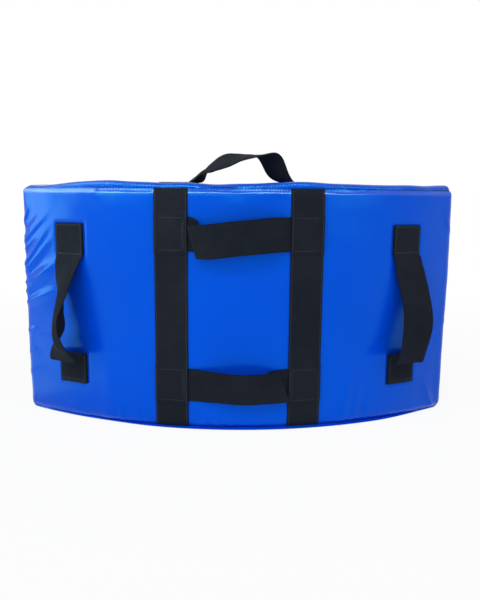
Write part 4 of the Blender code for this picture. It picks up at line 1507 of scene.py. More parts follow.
        for name, radius, sheet in (
            ("back_panel", form.face_radius, Sheet(form, face, self.face_relief, 1)),
            ("hit_panel", form.hit_radius, Sheet(form, hit, self.hit_relief, -1)),
        ):
            reach = form.half_sweep * radius - self.gap
            piece = self.panel(name, self.stations(-reach, reach), heights, sheet)
            self.finish_panel(piece, name)

    def gusset_span(self) -> tuple[float, float, float]:
        """Half the gussets' length at mid thickness, and how far their near and far seams are from there.

        Returns:
            The half length, and the distances of the near and the far seam.
        """
        form = self.form
        reach = form.half_sweep * form.seam_mid - self.gap
        return reach, form.seam_mid - form.seam_near + self.gap, form.seam_mid - form.seam_far - self.gap

    def top_sheet(self) -> Sheet:
        """The top gusset; its coordinates run to the right and away from the holder.

        Returns:
            The sheet.
        """
        form = self.form
        reach, near, far = self.gusset_span()

        def place(along: Array, back: Array) -> Array:
            """Points of the smooth gusset."""
            angle = along / form.seam_mid
            return form.on_arc(angle, form.seam_mid - back, form.top_height(angle, form.seam_mid - back))

        def relief(along: Array, back: Array) -> Array:
            """The full lip over the near seam, uneven along it, and a fuller far edge.

            Args:
                along: Length to the right.
                back: Length away from the holder.

            Returns:
                The height at each point.
            """
            ends = reach - np.abs(along)
            lip = 0.0026 + 0.0032 * hump(along, -0.190, 0.055) - 0.0022 * hump(along, -0.020, 0.034)
            lip += 0.0030 * hump(along, 0.080, 0.038) + 0.0018 * hump(along, 0.330, 0.060)
            lip -= 0.0018 * hump(along, -0.312, 0.040) + 0.0004 * hump(along, -0.100, 0.020)
            lip += 0.0006 * ripple(along, 0.0, 0.060, 12)
            near_swell = lip * plump(back - near, 0.0028, 0.0300) * 1.45
            far_swell = 0.0026 * plump(far - back, 0.0030, 0.0260)
            total = np.maximum(near_swell, np.maximum(far_swell, 0.0020 * plump(ends)))
            total = total * ease(ends, -0.001, 0.006)
            total += 0.0005 * ripple(along, back, 0.070, 8) * ease(ends, 0.0, 0.02)
            aside = np.abs(along - 0.003)
            total -= 0.0020 * hump(along, -0.300, 0.050) * ease(ends, 0.0, 0.006)
            tab = within(aside, 0.0790, 0.1190, 0.010) * within(back, -0.0240, 0.0240, 0.010)
            return total * (1.0 - tab) - 0.0013 * tab

        return Sheet(form, place, relief, 1)

    def bottom_sheet(self) -> Sheet:
        """The bottom gusset, flat but for the lips that its padding pushes out past the seams.

        Returns:
            The sheet.
        """
        form = self.form
        _, near, _ = self.gusset_span()

        def place(along: Array, back: Array) -> Array:
            """Points of the gusset.

            Args:
                along: Length to the right.
                back: Length away from the holder.

            Returns:
                One row of X, Y and Z for each point.
            """
            angle = along / form.seam_mid
            radius = form.seam_mid - back
            ends = form.end_rolls(angle, form.seam_mid, form.bottom_roll)
            edge = form.edge(ends, form.depth_rolls(radius, form.bottom_roll))
            full = 0.0034 + 0.0036 * ease(along, -0.200, -0.100) + 0.0042 * hump(along, 0.040, 0.230)
            full *= 1.0 - 0.6 * ease(along, 0.200, 0.300)
            lip = full * hump(back, near + 0.0030, 0.0036) * ease(back - near, 0.0, 0.002)
            return form.on_arc(angle, radius + lip, form.seam_low * edge)

        return Sheet(form, place, lambda along, back: np.zeros(np.broadcast(along, back).shape), -1)

    def build_gussets(self) -> None:
        """The top and the bottom gusset."""
        reach, near, far = self.gusset_span()
        for name, sheet in (("top_gusset", self.top_sheet()), ("bottom_gusset", self.bottom_sheet())):
            piece = self.panel(name, self.stations(-reach, reach), self.stations(near, far), sheet)
            self.finish_panel(piece, name)

    def end_sheet(self, side: Side) -> Sheet:
        """An end panel, in depth away from the holder and height.

        Args:
            side: Which end.

        Returns:
            The sheet.
        """
        form = self.form
        _, near, far = self.gusset_span()

        def place(back: Array, height: Array) -> Array:
            """Points of the smooth end panel.

            Args:
                back: Length away from the holder.
                height: Height.

            Returns:
                One row of X, Y and Z for each point.
            """
            radius = form.seam_mid - back
            depth = form.depth_rolls(radius, form.end_roll)
            edge = form.edge(depth, form.height_rolls(height, form.end_roll))
            return form.end_point(side, radius, height, form.end_draw * (1.0 - edge))

        def relief(back: Array, height: Array) -> Array:
            """Swells beside the seams and gentle unevenness, calm along the middle.

            Args:
                back: Length away from the holder.
                height: Height.

            Returns:
                The height at each point.
            """
            edge = np.minimum(np.minimum(back - near, far - back), height - form.seam_low)
            edge = np.minimum(edge, form.seam_high - height)
            calm = ease(np.abs(back), 0.009, 0.022)
            uneven = 0.0005 * ripple(back, height, 0.060, 11 + side.value) * ease(edge, 0.002, 0.015)
            return (0.0020 * plump(edge) + uneven) * calm

        return Sheet(form, place, relief, side.value)

    def build_ends(self) -> None:
        """The left end with its two vent holes and the right end with the zip's slot."""
        form = self.form
        _, near, far = self.gusset_span()
        heights = self.stations(form.seam_low + self.gap, form.seam_high - self.gap)
        for side in Side:
            name = side.word + "_end_panel"
            piece = self.panel(name, self.stations(near, far), heights, self.end_sheet(side))
            if side is Side.LEFT:
                for height in VENT_HEIGHTS:
                    self.punch(piece, side, height, VENT_SHANK, VENT_SHANK)
            else:
                self.punch(piece, side, ZIP_MIDDLE, ZIP_SLOT_HALF, ZIP_SLOT_HALF_HEIGHT)
            self.finish_panel(piece, name)

    def punch(self, piece: Piece, side: Side, height: float, half: float, tall: float) -> None:
        """Cut a hole through an end panel.

        Args:
            piece: The end panel.
            side: Which end.
            height: Height of the hole's middle.
            half: Half of its width over the shield's thickness.
            tall: Half of its height. A hole as tall as it is wide is round.
        """
        matrix = end_matrix(self.form, side, height)
        if tall == half:
            bpy.ops.mesh.primitive_cylinder_add(vertices=48, radius=half, depth=0.03, rotation=(pi / 2, 0, 0))
        else:
            bpy.ops.mesh.primitive_cube_add(size=1.0, scale=(2 * half, 0.03, 2 * tall))
        cutter = Bench.named("cutter")
        Bench.settle(cutter)
        cutter.data.transform(matrix)
        Bench.modify(piece, "BOOLEAN", object=cutter, operation="DIFFERENCE", solver="EXACT")
        bpy.data.objects.remove(cutter)

    def build_seams(self) -> None:
        """Stitching along every seam, on the gussets' and the ends' side of it."""
        inset = 0.0020
        bottom_inset = 0.0080
        clear = 0.0030
        form = self.form
        reach, near, far = self.gusset_span()
        along = np.linspace(-reach + clear, reach - clear, 240)
        heights = np.linspace(form.seam_low + clear, form.seam_high - clear, 120)
        sheets = ((self.top_sheet(), inset), (self.bottom_sheet(), bottom_inset))
        gussets = [(sheet, along, back) for sheet, deep in sheets for back in (near + deep, far - deep)]
        backs = (near + inset, far - inset)
        ends = [(self.end_sheet(side), back, heights) for side in Side for back in backs]
        for name, runs in (("gusset_stitches", gussets), ("end_stitches", ends)):
            paths = []
            outs = []
            for sheet, first, second in runs:
                first, second = np.broadcast_arrays(first, second)
                out = sheet.outs(first, second)
                paths.append(sheet.points(first, second) + out * self.stitching.lift)
                outs.append(out)
            self.stitching.run(name, paths, outs, self.finishes.blue_thread)

    def build(self) -> None:
        """Build the whole cover."""
        self.build_faces()
        self.build_gussets()
        self.build_ends()
        self.build_seams()


def end_matrix(form: ShieldForm, side: Side, height: float) -> Matrix:
    """Axes in the middle of an end: X over the thickness, Y out of the end and Z up.

    Args:
        form: The shield's body.
        side: Which end.
        height: Height of the origin.

    Returns:
        The matrix that carries a piece there.
    """
    origin = form.end_point(side, form.seam_mid, height, 0.0)
    radial = Vector((sin(form.half_sweep), -side.value * cos(form.half_sweep), 0.0))
    tangent = Vector((side.value * cos(form.half_sweep), sin(form.half_sweep), 0.0))
    turn = Matrix((radial, tangent, (0.0, 0.0, 1.0))).transposed().to_4x4()
    return Matrix.Translation(Vector(origin)) @ turn


def straight_run(
    bed: Bed, start: Sequence[float], end: Sequence[float], over: float, count: int
) -> tuple[Array, Array]:
    """One straight run of stitching over a tab.

    Args:
        bed: Where a point along, across and over the cloth is.
        start: Where the run starts, along and across.
        end: Where it ends.
        over: Its height over the cloth.
        count: How many points it has.

    Returns:
        Its points, and the directions away from the cloth there.
    """
    share = np.linspace(0.0, 1.0, count)
    along = start[0] + (end[0] - start[0]) * share
    across = start[1] + (end[1] - start[1]) * share
    level = np.full(share.shape, over)
    points = bed(along, across, level)
    return points, bed(along, across, level + 0.001) - points


@dataclass(frozen=True)
class Row:
    """One line across a webbing band.

    Attributes:
        along: Where its middle is along the route.
        out: Height of its middle over what it is sewn to.
        drift: How far its middle is to the side.
        tilt: How its width leans outwards, in degrees.
        skew: How its width leans along the route, in degrees.
        bend: How far its width is folded along a soft lengthwise bend, in degrees.
        bend_at: Where that bend is, from -1 at one edge to 1 at the other.
    """

    along: float
    out: float
    drift: float = 0.0
    tilt: float = 0.0
    skew: float = 0.0
    bend: float = 0.0
    bend_at: float = 0.0

    def values(self) -> Array:
        """All of the row's numbers."""
        return np.array(astuple(self), float)


@dataclass
class Band:
    """Flat webbing that runs through rows: it is modelled as one strip with rounded edges."""

    form: ShieldForm
    finishes: Finishes
    width: float = 0.050
    thickness: float = 0.0016
    gap: float = 0.0004
    solid: float = 0.0018
    lap: float = 0.0003
    columns: int = 25
    step: float = 0.0022
    bend_soft: float = 0.25

    @property
    def bed(self) -> float:
        """Height of a band's middle over the cloth that it lies on."""
        return self.gap + self.solid / 2

    @property
    def upper_bed(self) -> float:
        """The same for a band that lies on another one."""
        return self.bed + self.solid + self.lap

    def curve(self, rows: Sequence[Row]) -> Array:
        """Closely spaced rows along a smooth curve through the given ones.

        Args:
            rows: The given rows.

        Returns:
            The rows' numbers, one line for each.
        """
        given = np.array([row.values() for row in rows])
        made = [given[0]]
        for i in range(len(given) - 1):
            before = given[max(0, i - 1)]
            start, end = given[i], given[i + 1]
            after = given[min(len(given) - 1, i + 2)]
            count = max(1, round(hypot(*(end - start)[:2]) / self.step))
            for share in (np.arange(count) + 1) / count:
                bend = (2 * before - 5 * start + 4 * end - after) * share**2
                bend += (3 * start - before - 3 * end + after) * share**3
                made.append((2 * start + (end - before) * share + bend) / 2)
        return np.array(made)

    def straight(self, rows: Sequence[Row]) -> Array:
        """Closely spaced rows along straight lines between the given ones.

        Args:
            rows: The given rows.

        Returns:
            The rows' numbers, one line for each.
        """
        given = np.array([row.values() for row in rows])
        made = [given[0]]
        for start, end in zip(given[:-1], given[1:]):
            count = max(1, round(hypot(*(end - start)[:2]) / self.step))
            for share in (np.arange(count) + 1) / count:
                made.append(start + (end - start) * share)
        return np.array(made)

    def tab(self, start: float, end: float) -> list[Row]:
        """A webbing end turned under itself, from its hidden end round the fold and back to the start.

        Args:
            start: Where the loop leaves the tab.
            end: Where the tab is folded.

        Returns:
            The tab's rows.
        """
        way = 1.0 if end > start else -1.0
        bend = (self.upper_bed - self.bed) / 2
        turn = end - way * (bend + self.solid / 2)
        fold = [
            Row(turn + way * bend * sin(pi * k / 6), self.bed + bend * (1 - cos(pi * k / 6)))
            for k in range(7)
        ]
        return [Row(start + way * self.lap, self.bed)] + fold + [Row(start, self.upper_bed)]

    def loop(self, first: Sequence[Row], middle: Sequence[Row], last: Sequence[Row]) -> Array:
        """A handle's rows: one tab, the free loop and the other tab.

        Args:
            first: The first tab's rows, from its hidden end.
            middle: The loop's rows, from the one tab's face to the other's.
            last: The last tab's rows, from its hidden end.

        Returns:
            The rows' numbers, one line for each.
        """
        parts = (self.straight(first)[:-1], self.curve(middle)[:-1], self.straight(last[::-1]))
        return np.concatenate(parts)

    def section(self, rows: Array) -> tuple[Array, Array]:
        """How each row's width runs sideways and outwards, leaning by its tilt and folded at its bend.

        Args:
            rows: The rows' numbers.

        Returns:
            The sideways and the outward lengths, one line for each row.
        """
        side = np.linspace(-1.0, 1.0, self.columns)
        tilt, bend, bend_at = (rows[:, k, None] for k in (3, 5, 6))
        turned = ease(side - bend_at, -self.bend_soft, self.bend_soft)
        lean = np.radians(tilt + bend * (0.5 - turned))
        step = self.width / (self.columns - 1)
        runs = []
        for share in (np.cos(lean), np.sin(lean)):
            sums = np.cumsum((share[:, 1:] + share[:, :-1]) / 2 * step, axis=1)
            sums = np.concatenate((np.zeros((len(rows), 1)), sums), axis=1)
            runs.append(sums - sums[:, -1:] / 2)
        return runs[0], runs[1]

    def build(self, name: str, rows: Array, bed: Bed, seed: int, folds: Sequence[Fold] = ()) -> Piece:
        """A band through closely spaced rows.

        Args:
            name: The piece's name.
            rows: One row of numbers for each line across the band.
            bed: Where a point along, across and over the cloth is.
            seed: Which unevenness the band has.
            folds: Creases, in place along the route and across the band.

        Returns:
            The dressed band.
        """
        piece = Bench.grid(name, self.columns, len(rows))
        column, row = Bench.indices(piece, self.columns, len(rows))
        side = 2.0 * column / (self.columns - 1) - 1.0
        reach = side * self.width / 2
        along, out, drift, _, skew, _, _ = rows[row].T
        level, lift = self.section(rows)
        skew = np.radians(skew)
        run = along + level[row, column] * np.sin(skew)
        across = drift + level[row, column] * np.cos(skew)
        Bench.put(piece, bed(run, across, out + lift[row, column]))
        middle = bed(rows[:, 0], rows[:, 2], rows[:, 1])
        steps = np.linalg.norm(np.diff(middle, axis=0), axis=1)
        length = np.concatenate(([0.0], np.cumsum(steps)))
        free = np.clip((out - 0.004) / 0.010, 0.0, 1.0)
        shift = ripple(reach, length[row] * 0.6, 0.030, seed) * free * 0.00035
        shift += ripple(length[row], side * 0.5, 0.045, seed + 1) * side**2 * free * 0.0006
        for fold in folds:
            shift += fold.lift(along, reach)
        normals = np.zeros(len(piece.data.vertices) * 3)
        piece.data.vertex_normals.foreach_get("vector", normals)
        Bench.put(piece, Bench.corners(piece) + normals.reshape(-1, 3) * shift[:, None])
        Bench.unwrap(piece, "cloth", np.stack((reach, length[row]), axis=1))
        Bench.modify(piece, "SOLIDIFY", thickness=self.thickness, offset=0.0, use_even_offset=True,
                     use_quality_normals=True)
        Bench.modify(piece, "BEVEL", width=0.0005, segments=2, limit_method="ANGLE", angle_limit=radians(50))
        Bench.smooth(piece, 60.0)
        return self.finishes.webbing.dress(piece)


@dataclass
class Straps:
    """The two upright straps over the holder's face, with the stitching that holds them and the grips."""

    form: ShieldForm
    finishes: Finishes
    stitching: Stitching
    band: Band
    spacing: float = 0.200
    margin: float = 0.0020
    ramp: float = 0.0050
    edge_margin: float = 0.0022
    box_margin: float = 0.0035
    box_inner: float = 0.0195
    second_inner: float = 0.0172
    box_outer: float = 0.0165
    box_clear: float = 0.0020
    creases: tuple[tuple[Side, Fold], ...] = (
        (Side.RIGHT, Fold((0.1960, -0.0105), (0.1060, -0.0095), 0.0016, -0.0006, 1.0)),
        (Side.LEFT, Fold((0.2700, -0.0020), (0.2620, 0.0060), 0.0014, 0.0006, 1.0)),
        (Side.LEFT, Fold((0.0150, 0.0060), (0.0420, 0.0100), 0.0020, 0.0005, 1.2)),
        (Side.RIGHT, Fold((0.3400, -0.0080), (0.3250, -0.0130), 0.0016, 0.0005, 1.2)),
    )

    def rows(self) -> Array:
        """The straps' rows from the bottom seam to the top seam, raised over the grips' ends.

        Returns:
            The rows' numbers, one line for each.
        """
        form = self.form
        rise = self.band.solid + self.band.lap
        flat = self.band.width / 2 + self.margin
        height = np.linspace(form.seam_low + 0.0006, form.seam_high - 0.0006, 170)
        distance = np.minimum(height - form.seam_low, form.seam_high - height)
        slope = 2 * form.face_draw / form.face_roll * np.clip(1 - distance / form.face_roll, 0, None)
        out = self.band.bed * np.hypot(1.0, slope) - form.face_draw * roll(distance, form.face_roll)
        over = np.zeros(height.shape)
        for tuck in GRIP_HEIGHTS:
            over = np.maximum(over, 1.0 - ease(np.abs(height - tuck), flat, flat + self.ramp))
        rows = np.zeros((len(height), 7))
        rows[:, 0] = height
        rows[:, 1] = out + rise * over
        return rows

    def build(self) -> None:
        """Build both straps and their stitching."""
        rows = self.rows()
        for side in Side:
            centre = side.value * self.spacing / 2
            bed = self.form.face_bed(centre)
            creases = [fold for owner, fold in self.creases if owner is side]
            piece = self.band.build(side.word + "_strap_webbing", rows, bed, 20 + side.value, creases)
            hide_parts(side.word + "_strap")
            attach(piece, Body.SHIELD.value)
            self.stitch(side, rows)
            log.info("%s built", piece.name)

    def stitch(self, side: Side, rows: Array) -> None:
        """Two edge rows on a strap and a box over each grip's end.

        Args:
            side: Which strap.
            rows: The strap's rows.
        """
        bed = self.form.face_bed(side.value * self.spacing / 2)
        height, out = rows[:, 0], rows[:, 1]
        surface = self.band.thickness / 2 + self.stitching.lift
        paths = []
        outs = []

        def line(along: Array, across: Array) -> None:
            """One run over the strap.

            Args:
                along: Its heights.
                across: How far to the right it is there.
            """
            over = np.interp(along, height, out) + surface
            paths.append(bed(along, across, over))
            outs.append(bed(along, across, over + 0.001) - bed(along, across, over))

        span = np.linspace(height[0] + self.box_clear, height[-1] - self.box_clear, 200)
        edge = self.band.width / 2 - self.edge_margin
        for way in (-1, 1):
            line(span, np.full(span.shape, way * edge))
        inner = -side.value
        for tuck in GRIP_HEIGHTS:
            half = self.band.width / 2 - self.box_margin
            tall = np.linspace(tuck - half, tuck + half, 24)
            wide = np.linspace(inner * self.box_inner, -inner * self.box_outer, 20)
            if side is Side.LEFT or tuck < 0.1:
                line(tall, np.full(tall.shape, inner * self.box_inner))
            if side is Side.LEFT:
                line(tall[2:-2], np.full(tall.shape, inner * self.second_inner)[2:-2])
            for level in (tuck - half - self.box_clear, tuck + half + self.box_clear):
                line(np.full(wide.shape, level), wide)
        self.stitching.run(side.word + "_strap_stitches", paths, outs, self.finishes.dark_thread)


@dataclass
class Grips:
    """The two level hand grips between the straps, each with a flat pleat at one end."""

    form: ShieldForm
    band: Band
    strap_edge: float = 0.075
    tuck: float = 0.0435
    reach: float = 0.0210
    sag: float = 0.0110
    pleat: float = 0.0120

    def pleated(self, side: int, sag: float, lean: float) -> list[Row]:
        """From the tuck under a strap to the front layer, through a flat double fold.

        Args:
            side: 1 for a fold at the right end, or -1.
            sag: How far the front hangs there.
            lean: How the folds lean, in degrees.

        Returns:
            The rows.
        """
        band = self.band
        back = band.solid + 2 * band.gap
        turn = back / 2
        first = band.bed + back + band.gap
        second = first + turn * 2
        third = second + turn * 2 + band.gap
        pleat = self.strap_edge - band.solid * 4.3
        inner = pleat - self.pleat
        return [
            Row(side * self.tuck_end, band.bed),
            Row(side * (self.strap_edge - band.solid / 2), band.bed),
            Row(side * (inner + band.solid * 3), first - band.gap, -sag * 0.15, 0.0, lean * 0.7),
            Row(side * inner, first, -sag * 0.3, 0.0, lean),
            Row(side * (inner - turn), first + turn, -sag * 0.4, 0.0, lean),
            Row(side * inner, second, -sag * 0.5, 0.0, lean),
            Row(side * (pleat - turn), third - band.gap - turn, -sag * 0.9, 0.0, lean),
            Row(side * pleat, third, -sag, 0.0, lean),
            Row(side * (pleat - turn), third + turn, -sag, 0.0, lean),
        ]

    @property
    def tuck_end(self) -> float:
        """Where the tucked ends stop under the straps."""
        return self.strap_edge + self.tuck

    def front(self, side: int, sag: float, places: Sequence[tuple[float, ...]]) -> list[Row]:
        """Across the front, from the pleat to the plain end on the other side.

        Args:
            side: 1 if the pleat is at the right end, or -1.
            sag: How far the front hangs.
            places: Share of the half span, share of the reach, share of the sag, tilt and skew.

        Returns:
            The rows.
        """
        rows = [
            Row(side * share * self.strap_edge, out * self.reach, -sag * drop, tilt, skew)
            for share, out, drop, tilt, skew in places
        ]
        plain = side * (self.strap_edge - self.band.solid / 2)
        return rows + [Row(-plain, self.band.bed), Row(-side * self.tuck_end, self.band.bed)]

    def build(self) -> None:
        """Build the lower and the upper grip."""
        upper = (
            (0.62, 0.84, 0.95, 0.0, -11.0),
            (0.36, 0.97, 0.72, 0.0, -4.0),
            (0.00, 1.00, 0.42, 0.0, 0.0),
            (-0.36, 0.93, 0.18, 0.0, 0.0),
            (-0.64, 0.70, 0.02, 0.0, 0.0),
            (-0.84, 0.36, 0.0, 0.0, 0.0),
        )
        lower = (
            (0.62, 0.84, 0.0, 8.0, -12.0),
            (0.42, 0.97, 0.0, 12.0, -4.0),
            (0.18, 1.10, 0.0, 12.0, 0.0),
            (-0.08, 0.98, 0.0, 12.0, 0.0),
            (-0.34, 0.70, 0.0, 10.0, 0.0),
            (-0.60, 0.40, 0.0, 6.0, 0.0),
            (-0.82, 0.16, 0.0, 2.0, 0.0),
        )
        creases = (
            Fold((0.0080, 0.0180), (-0.0030, -0.0200), 0.0040, 0.0012, 1.3),
            Fold((0.0360, 0.0150), (0.0480, -0.0150), 0.0026, 0.0012, 1.2),
        )
        low, high = GRIP_HEIGHTS
        self.build_one("lower_grip", Body.LOWER_GRIP, low, (1, 0.0, -21.0), lower, creases)
        self.build_one("upper_grip", Body.UPPER_GRIP, high, (-1, self.sag, -16.0), upper)

    def build_one(
        self,
        name: str,
        body: Body,
        height: float,
        pleat: tuple[int, float, float],
        places: Sequence[tuple[float, ...]],
        creases: Sequence[Fold] = (),
    ) -> None:
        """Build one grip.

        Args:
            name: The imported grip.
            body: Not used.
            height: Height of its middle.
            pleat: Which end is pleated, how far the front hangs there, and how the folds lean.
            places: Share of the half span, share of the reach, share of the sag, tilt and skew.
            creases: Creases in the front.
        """
        side, sag, lean = pleat
        rows = self.pleated(side, sag, lean) + self.front(side, sag, places)
        full = np.vstack((rows[0].values(), self.band.curve(rows[1:-1]), rows[-1].values()))
        bed = self.form.level_bed(height)
        piece = self.band.build(name + "_webbing", full, bed, 30 + side, creases)
        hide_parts(name, name + "_left_end", name + "_right_end")
        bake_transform(piece)
        log.info("%s built", piece.name)


@dataclass
class SideHandles:
    """The two upright handles near the ends of the holder's face."""

    form: ShieldForm
    finishes: Finishes
    stitching: Stitching
    band: Band
    spacing: float = 0.532
    foot: float = 0.1095
    crown: float = 0.3095
    lower_tab: float = 0.0505
    reach: float = 0.0445
    belly: float = 0.0070
    right_top: float = 0.2640
    left_top: float = 0.2590
    fold_at: float = 0.36
    box_margin: float = 0.0030
    foot_margin: float = 0.0066
    second_row: float = 0.0016
    zigzag_at: float = 0.0046
    zigzag_rise: float = 0.0034
    right_shape: tuple[tuple[float, ...], ...] = (
        (0.03, 0.12, 0.04, 3.5),
        (0.09, 0.19, 0.04, 5.0),
        (0.16, 0.26, 0.06, 8.5),
        (0.24, 0.33, 0.09, 10.5),
        (0.32, 0.42, 0.12, 10.0),
        (0.39, 0.50, 0.13, 9.5),
        (0.46, 0.60, 0.13, 9.0),
        (0.53, 0.69, 0.12, 9.0),
        (0.60, 0.77, 0.08, 9.5, 2.0),
        (0.67, 0.85, 0.02, 10.5, 6.0),
        (0.74, 0.90, -0.04, 12.0, 12.0),
        (0.81, 0.95, -0.11, 12.0, 17.0),
        (0.87, 0.98, -0.17, 8.5, 17.0),
        (0.93, 1.00, -0.27, 5.5, 12.0),
        (0.98, 1.00, -0.34, 2.0, 4.0),
        (1.02, 0.96, -0.37, 2.5, 0.0),
        (1.045, 0.86, -0.34, 2.0, 0.0),
    )
    left_shape: tuple[tuple[float, ...], ...] = (
        (0.030, 0.12, -0.03, 4.0),
        (0.090, 0.19, -0.06, 8.0, 0.0, 8.0),
        (0.200, 0.34, -0.05, 15.0, 0.0, 26.0),
        (0.320, 0.50, 0.00, 23.0, 0.0, 45.0),
        (0.420, 0.60, 0.06, 35.0, 0.0, 55.0),
        (0.500, 0.67, 0.10, 45.0, 0.0, 58.0),
        (0.580, 0.73, 0.08, 51.0, 0.0, 54.0),
        (0.660, 0.79, 0.12, 53.0, 0.0, 61.0),
        (0.740, 0.84, 0.16, 48.0, 0.0, 70.0),
        (0.820, 0.88, 0.17, 36.0, 0.0, 66.0),
        (0.890, 0.91, 0.12, 25.0, 0.0, 34.0),
        (0.960, 0.93, 0.18, 14.0, 0.0, 10.0),
        (1.010, 0.92, 0.23, 6.0),
        (1.045, 0.82, 0.22, 3.0),
    )

    def build(self) -> None:
        """Build both handles."""
        self.build_one(Side.RIGHT, Body.RIGHT_HANDLE, self.right_top, self.right_shape)
        self.build_one(Side.LEFT, Body.LEFT_HANDLE, self.left_top, self.left_shape)

    def build_one(self, side: Side, body: Body, top: float, shape: Sequence[tuple[float, ...]]) -> None:
        """Build one handle.

        Args:
            side: Which end it is near.
            body: Not used.
            top: Where the loop leaves the upper tab.
            shape: Share of the drop, share of the reach, sideways share, tilt, skew and bend of each row.
        """
        band = self.band
        drop = top - self.foot
        shelf = self.foot - band.solid - band.lap
        upper = band.tab(top, self.crown)
        lower = band.tab(self.foot - band.solid * 1.5, self.foot - self.lower_tab)
        middle = [upper[-1]]
        for share, out, drift, *turns in shape:
            row = Row(top - share * drop, out * self.reach, drift * self.reach, *turns)
            middle.append(replace(row, bend_at=self.fold_at))
        last = middle[-1].drift
        middle += [
            Row(shelf - self.belly * 0.2, 0.0220, last * 0.5),
            Row(shelf + 0.0002, 0.0140, last * 0.1),
            Row(shelf + 0.0010, 0.0070),
            Row(shelf + 0.0004, band.upper_bed + band.solid * 0.8),
            lower[-1],
        ]
        rows = band.loop(upper, middle, lower)
        name = side.word + "_handle"
        centre = side.value * self.spacing / 2
        bed = self.form.face_bed(centre)
        piece = band.build(name + "_webbing", rows, bed, 40 + side.value)
        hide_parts(name, name + "_upper_end", name + "_lower_end")
        start = bed(np.array(0.18), np.array(0.0), np.array(0.0040))
        end = bed(np.array(0.18), np.array(0.0), np.array(0.0135))
        tuple(start)
        tuple(end)
        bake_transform(piece)
        self.stitch(name, bed, top)
        log.info("%s built", piece.name)

    def stitch(self, name: str, bed: Bed, top: float) -> None:
        """A box of stitching on each of a handle's two tabs.

        Args:
            name: The handle.
            bed: Where a point along, across and over the cloth is.
            top: Where the loop leaves the upper tab.
        """
        band = self.band
        over = band.upper_bed + band.thickness / 2 + self.stitching.lift
        side = band.width / 2 - self.stitching.margin
        paths = []
        outs = []

        def line(start: tuple[float, float], end: tuple[float, float]) -> None:
            """One straight run over a tab.

            Args:
                start: Where it starts, along and across.
                end: Where it ends.
            """
            points, away = straight_run(bed, start, end, over, 20)
            paths.append(points)
            outs.append(away)

        boxes = (
            (top + self.box_margin, self.crown - self.box_margin, 1),
            (self.foot - self.lower_tab + self.box_margin, self.foot - self.foot_margin, -1),
        )
        for low, high, way in boxes:
            line((low, -side), (high, -side))
            line((low, side), (high, side))
            line((low, -side), (low, side))
            line((high, -side), (high, side))
            inner = (low if way > 0 else high) + way * self.second_row
            line((inner, -side), (inner, side))
        zigzag = np.linspace(-side, side, 15)
        foot = self.foot - self.lower_tab + self.zigzag_at
        for index, (start, end) in enumerate(zip(zigzag[:-1], zigzag[1:])):
            rise = (0.0, self.zigzag_rise) if index % 2 == 0 else (self.zigzag_rise, 0.0)
            line((foot + rise[0], start), (foot + rise[1], end))
        self.stitching.run(name + "_stitches", paths, outs, self.finishes.dark_thread)


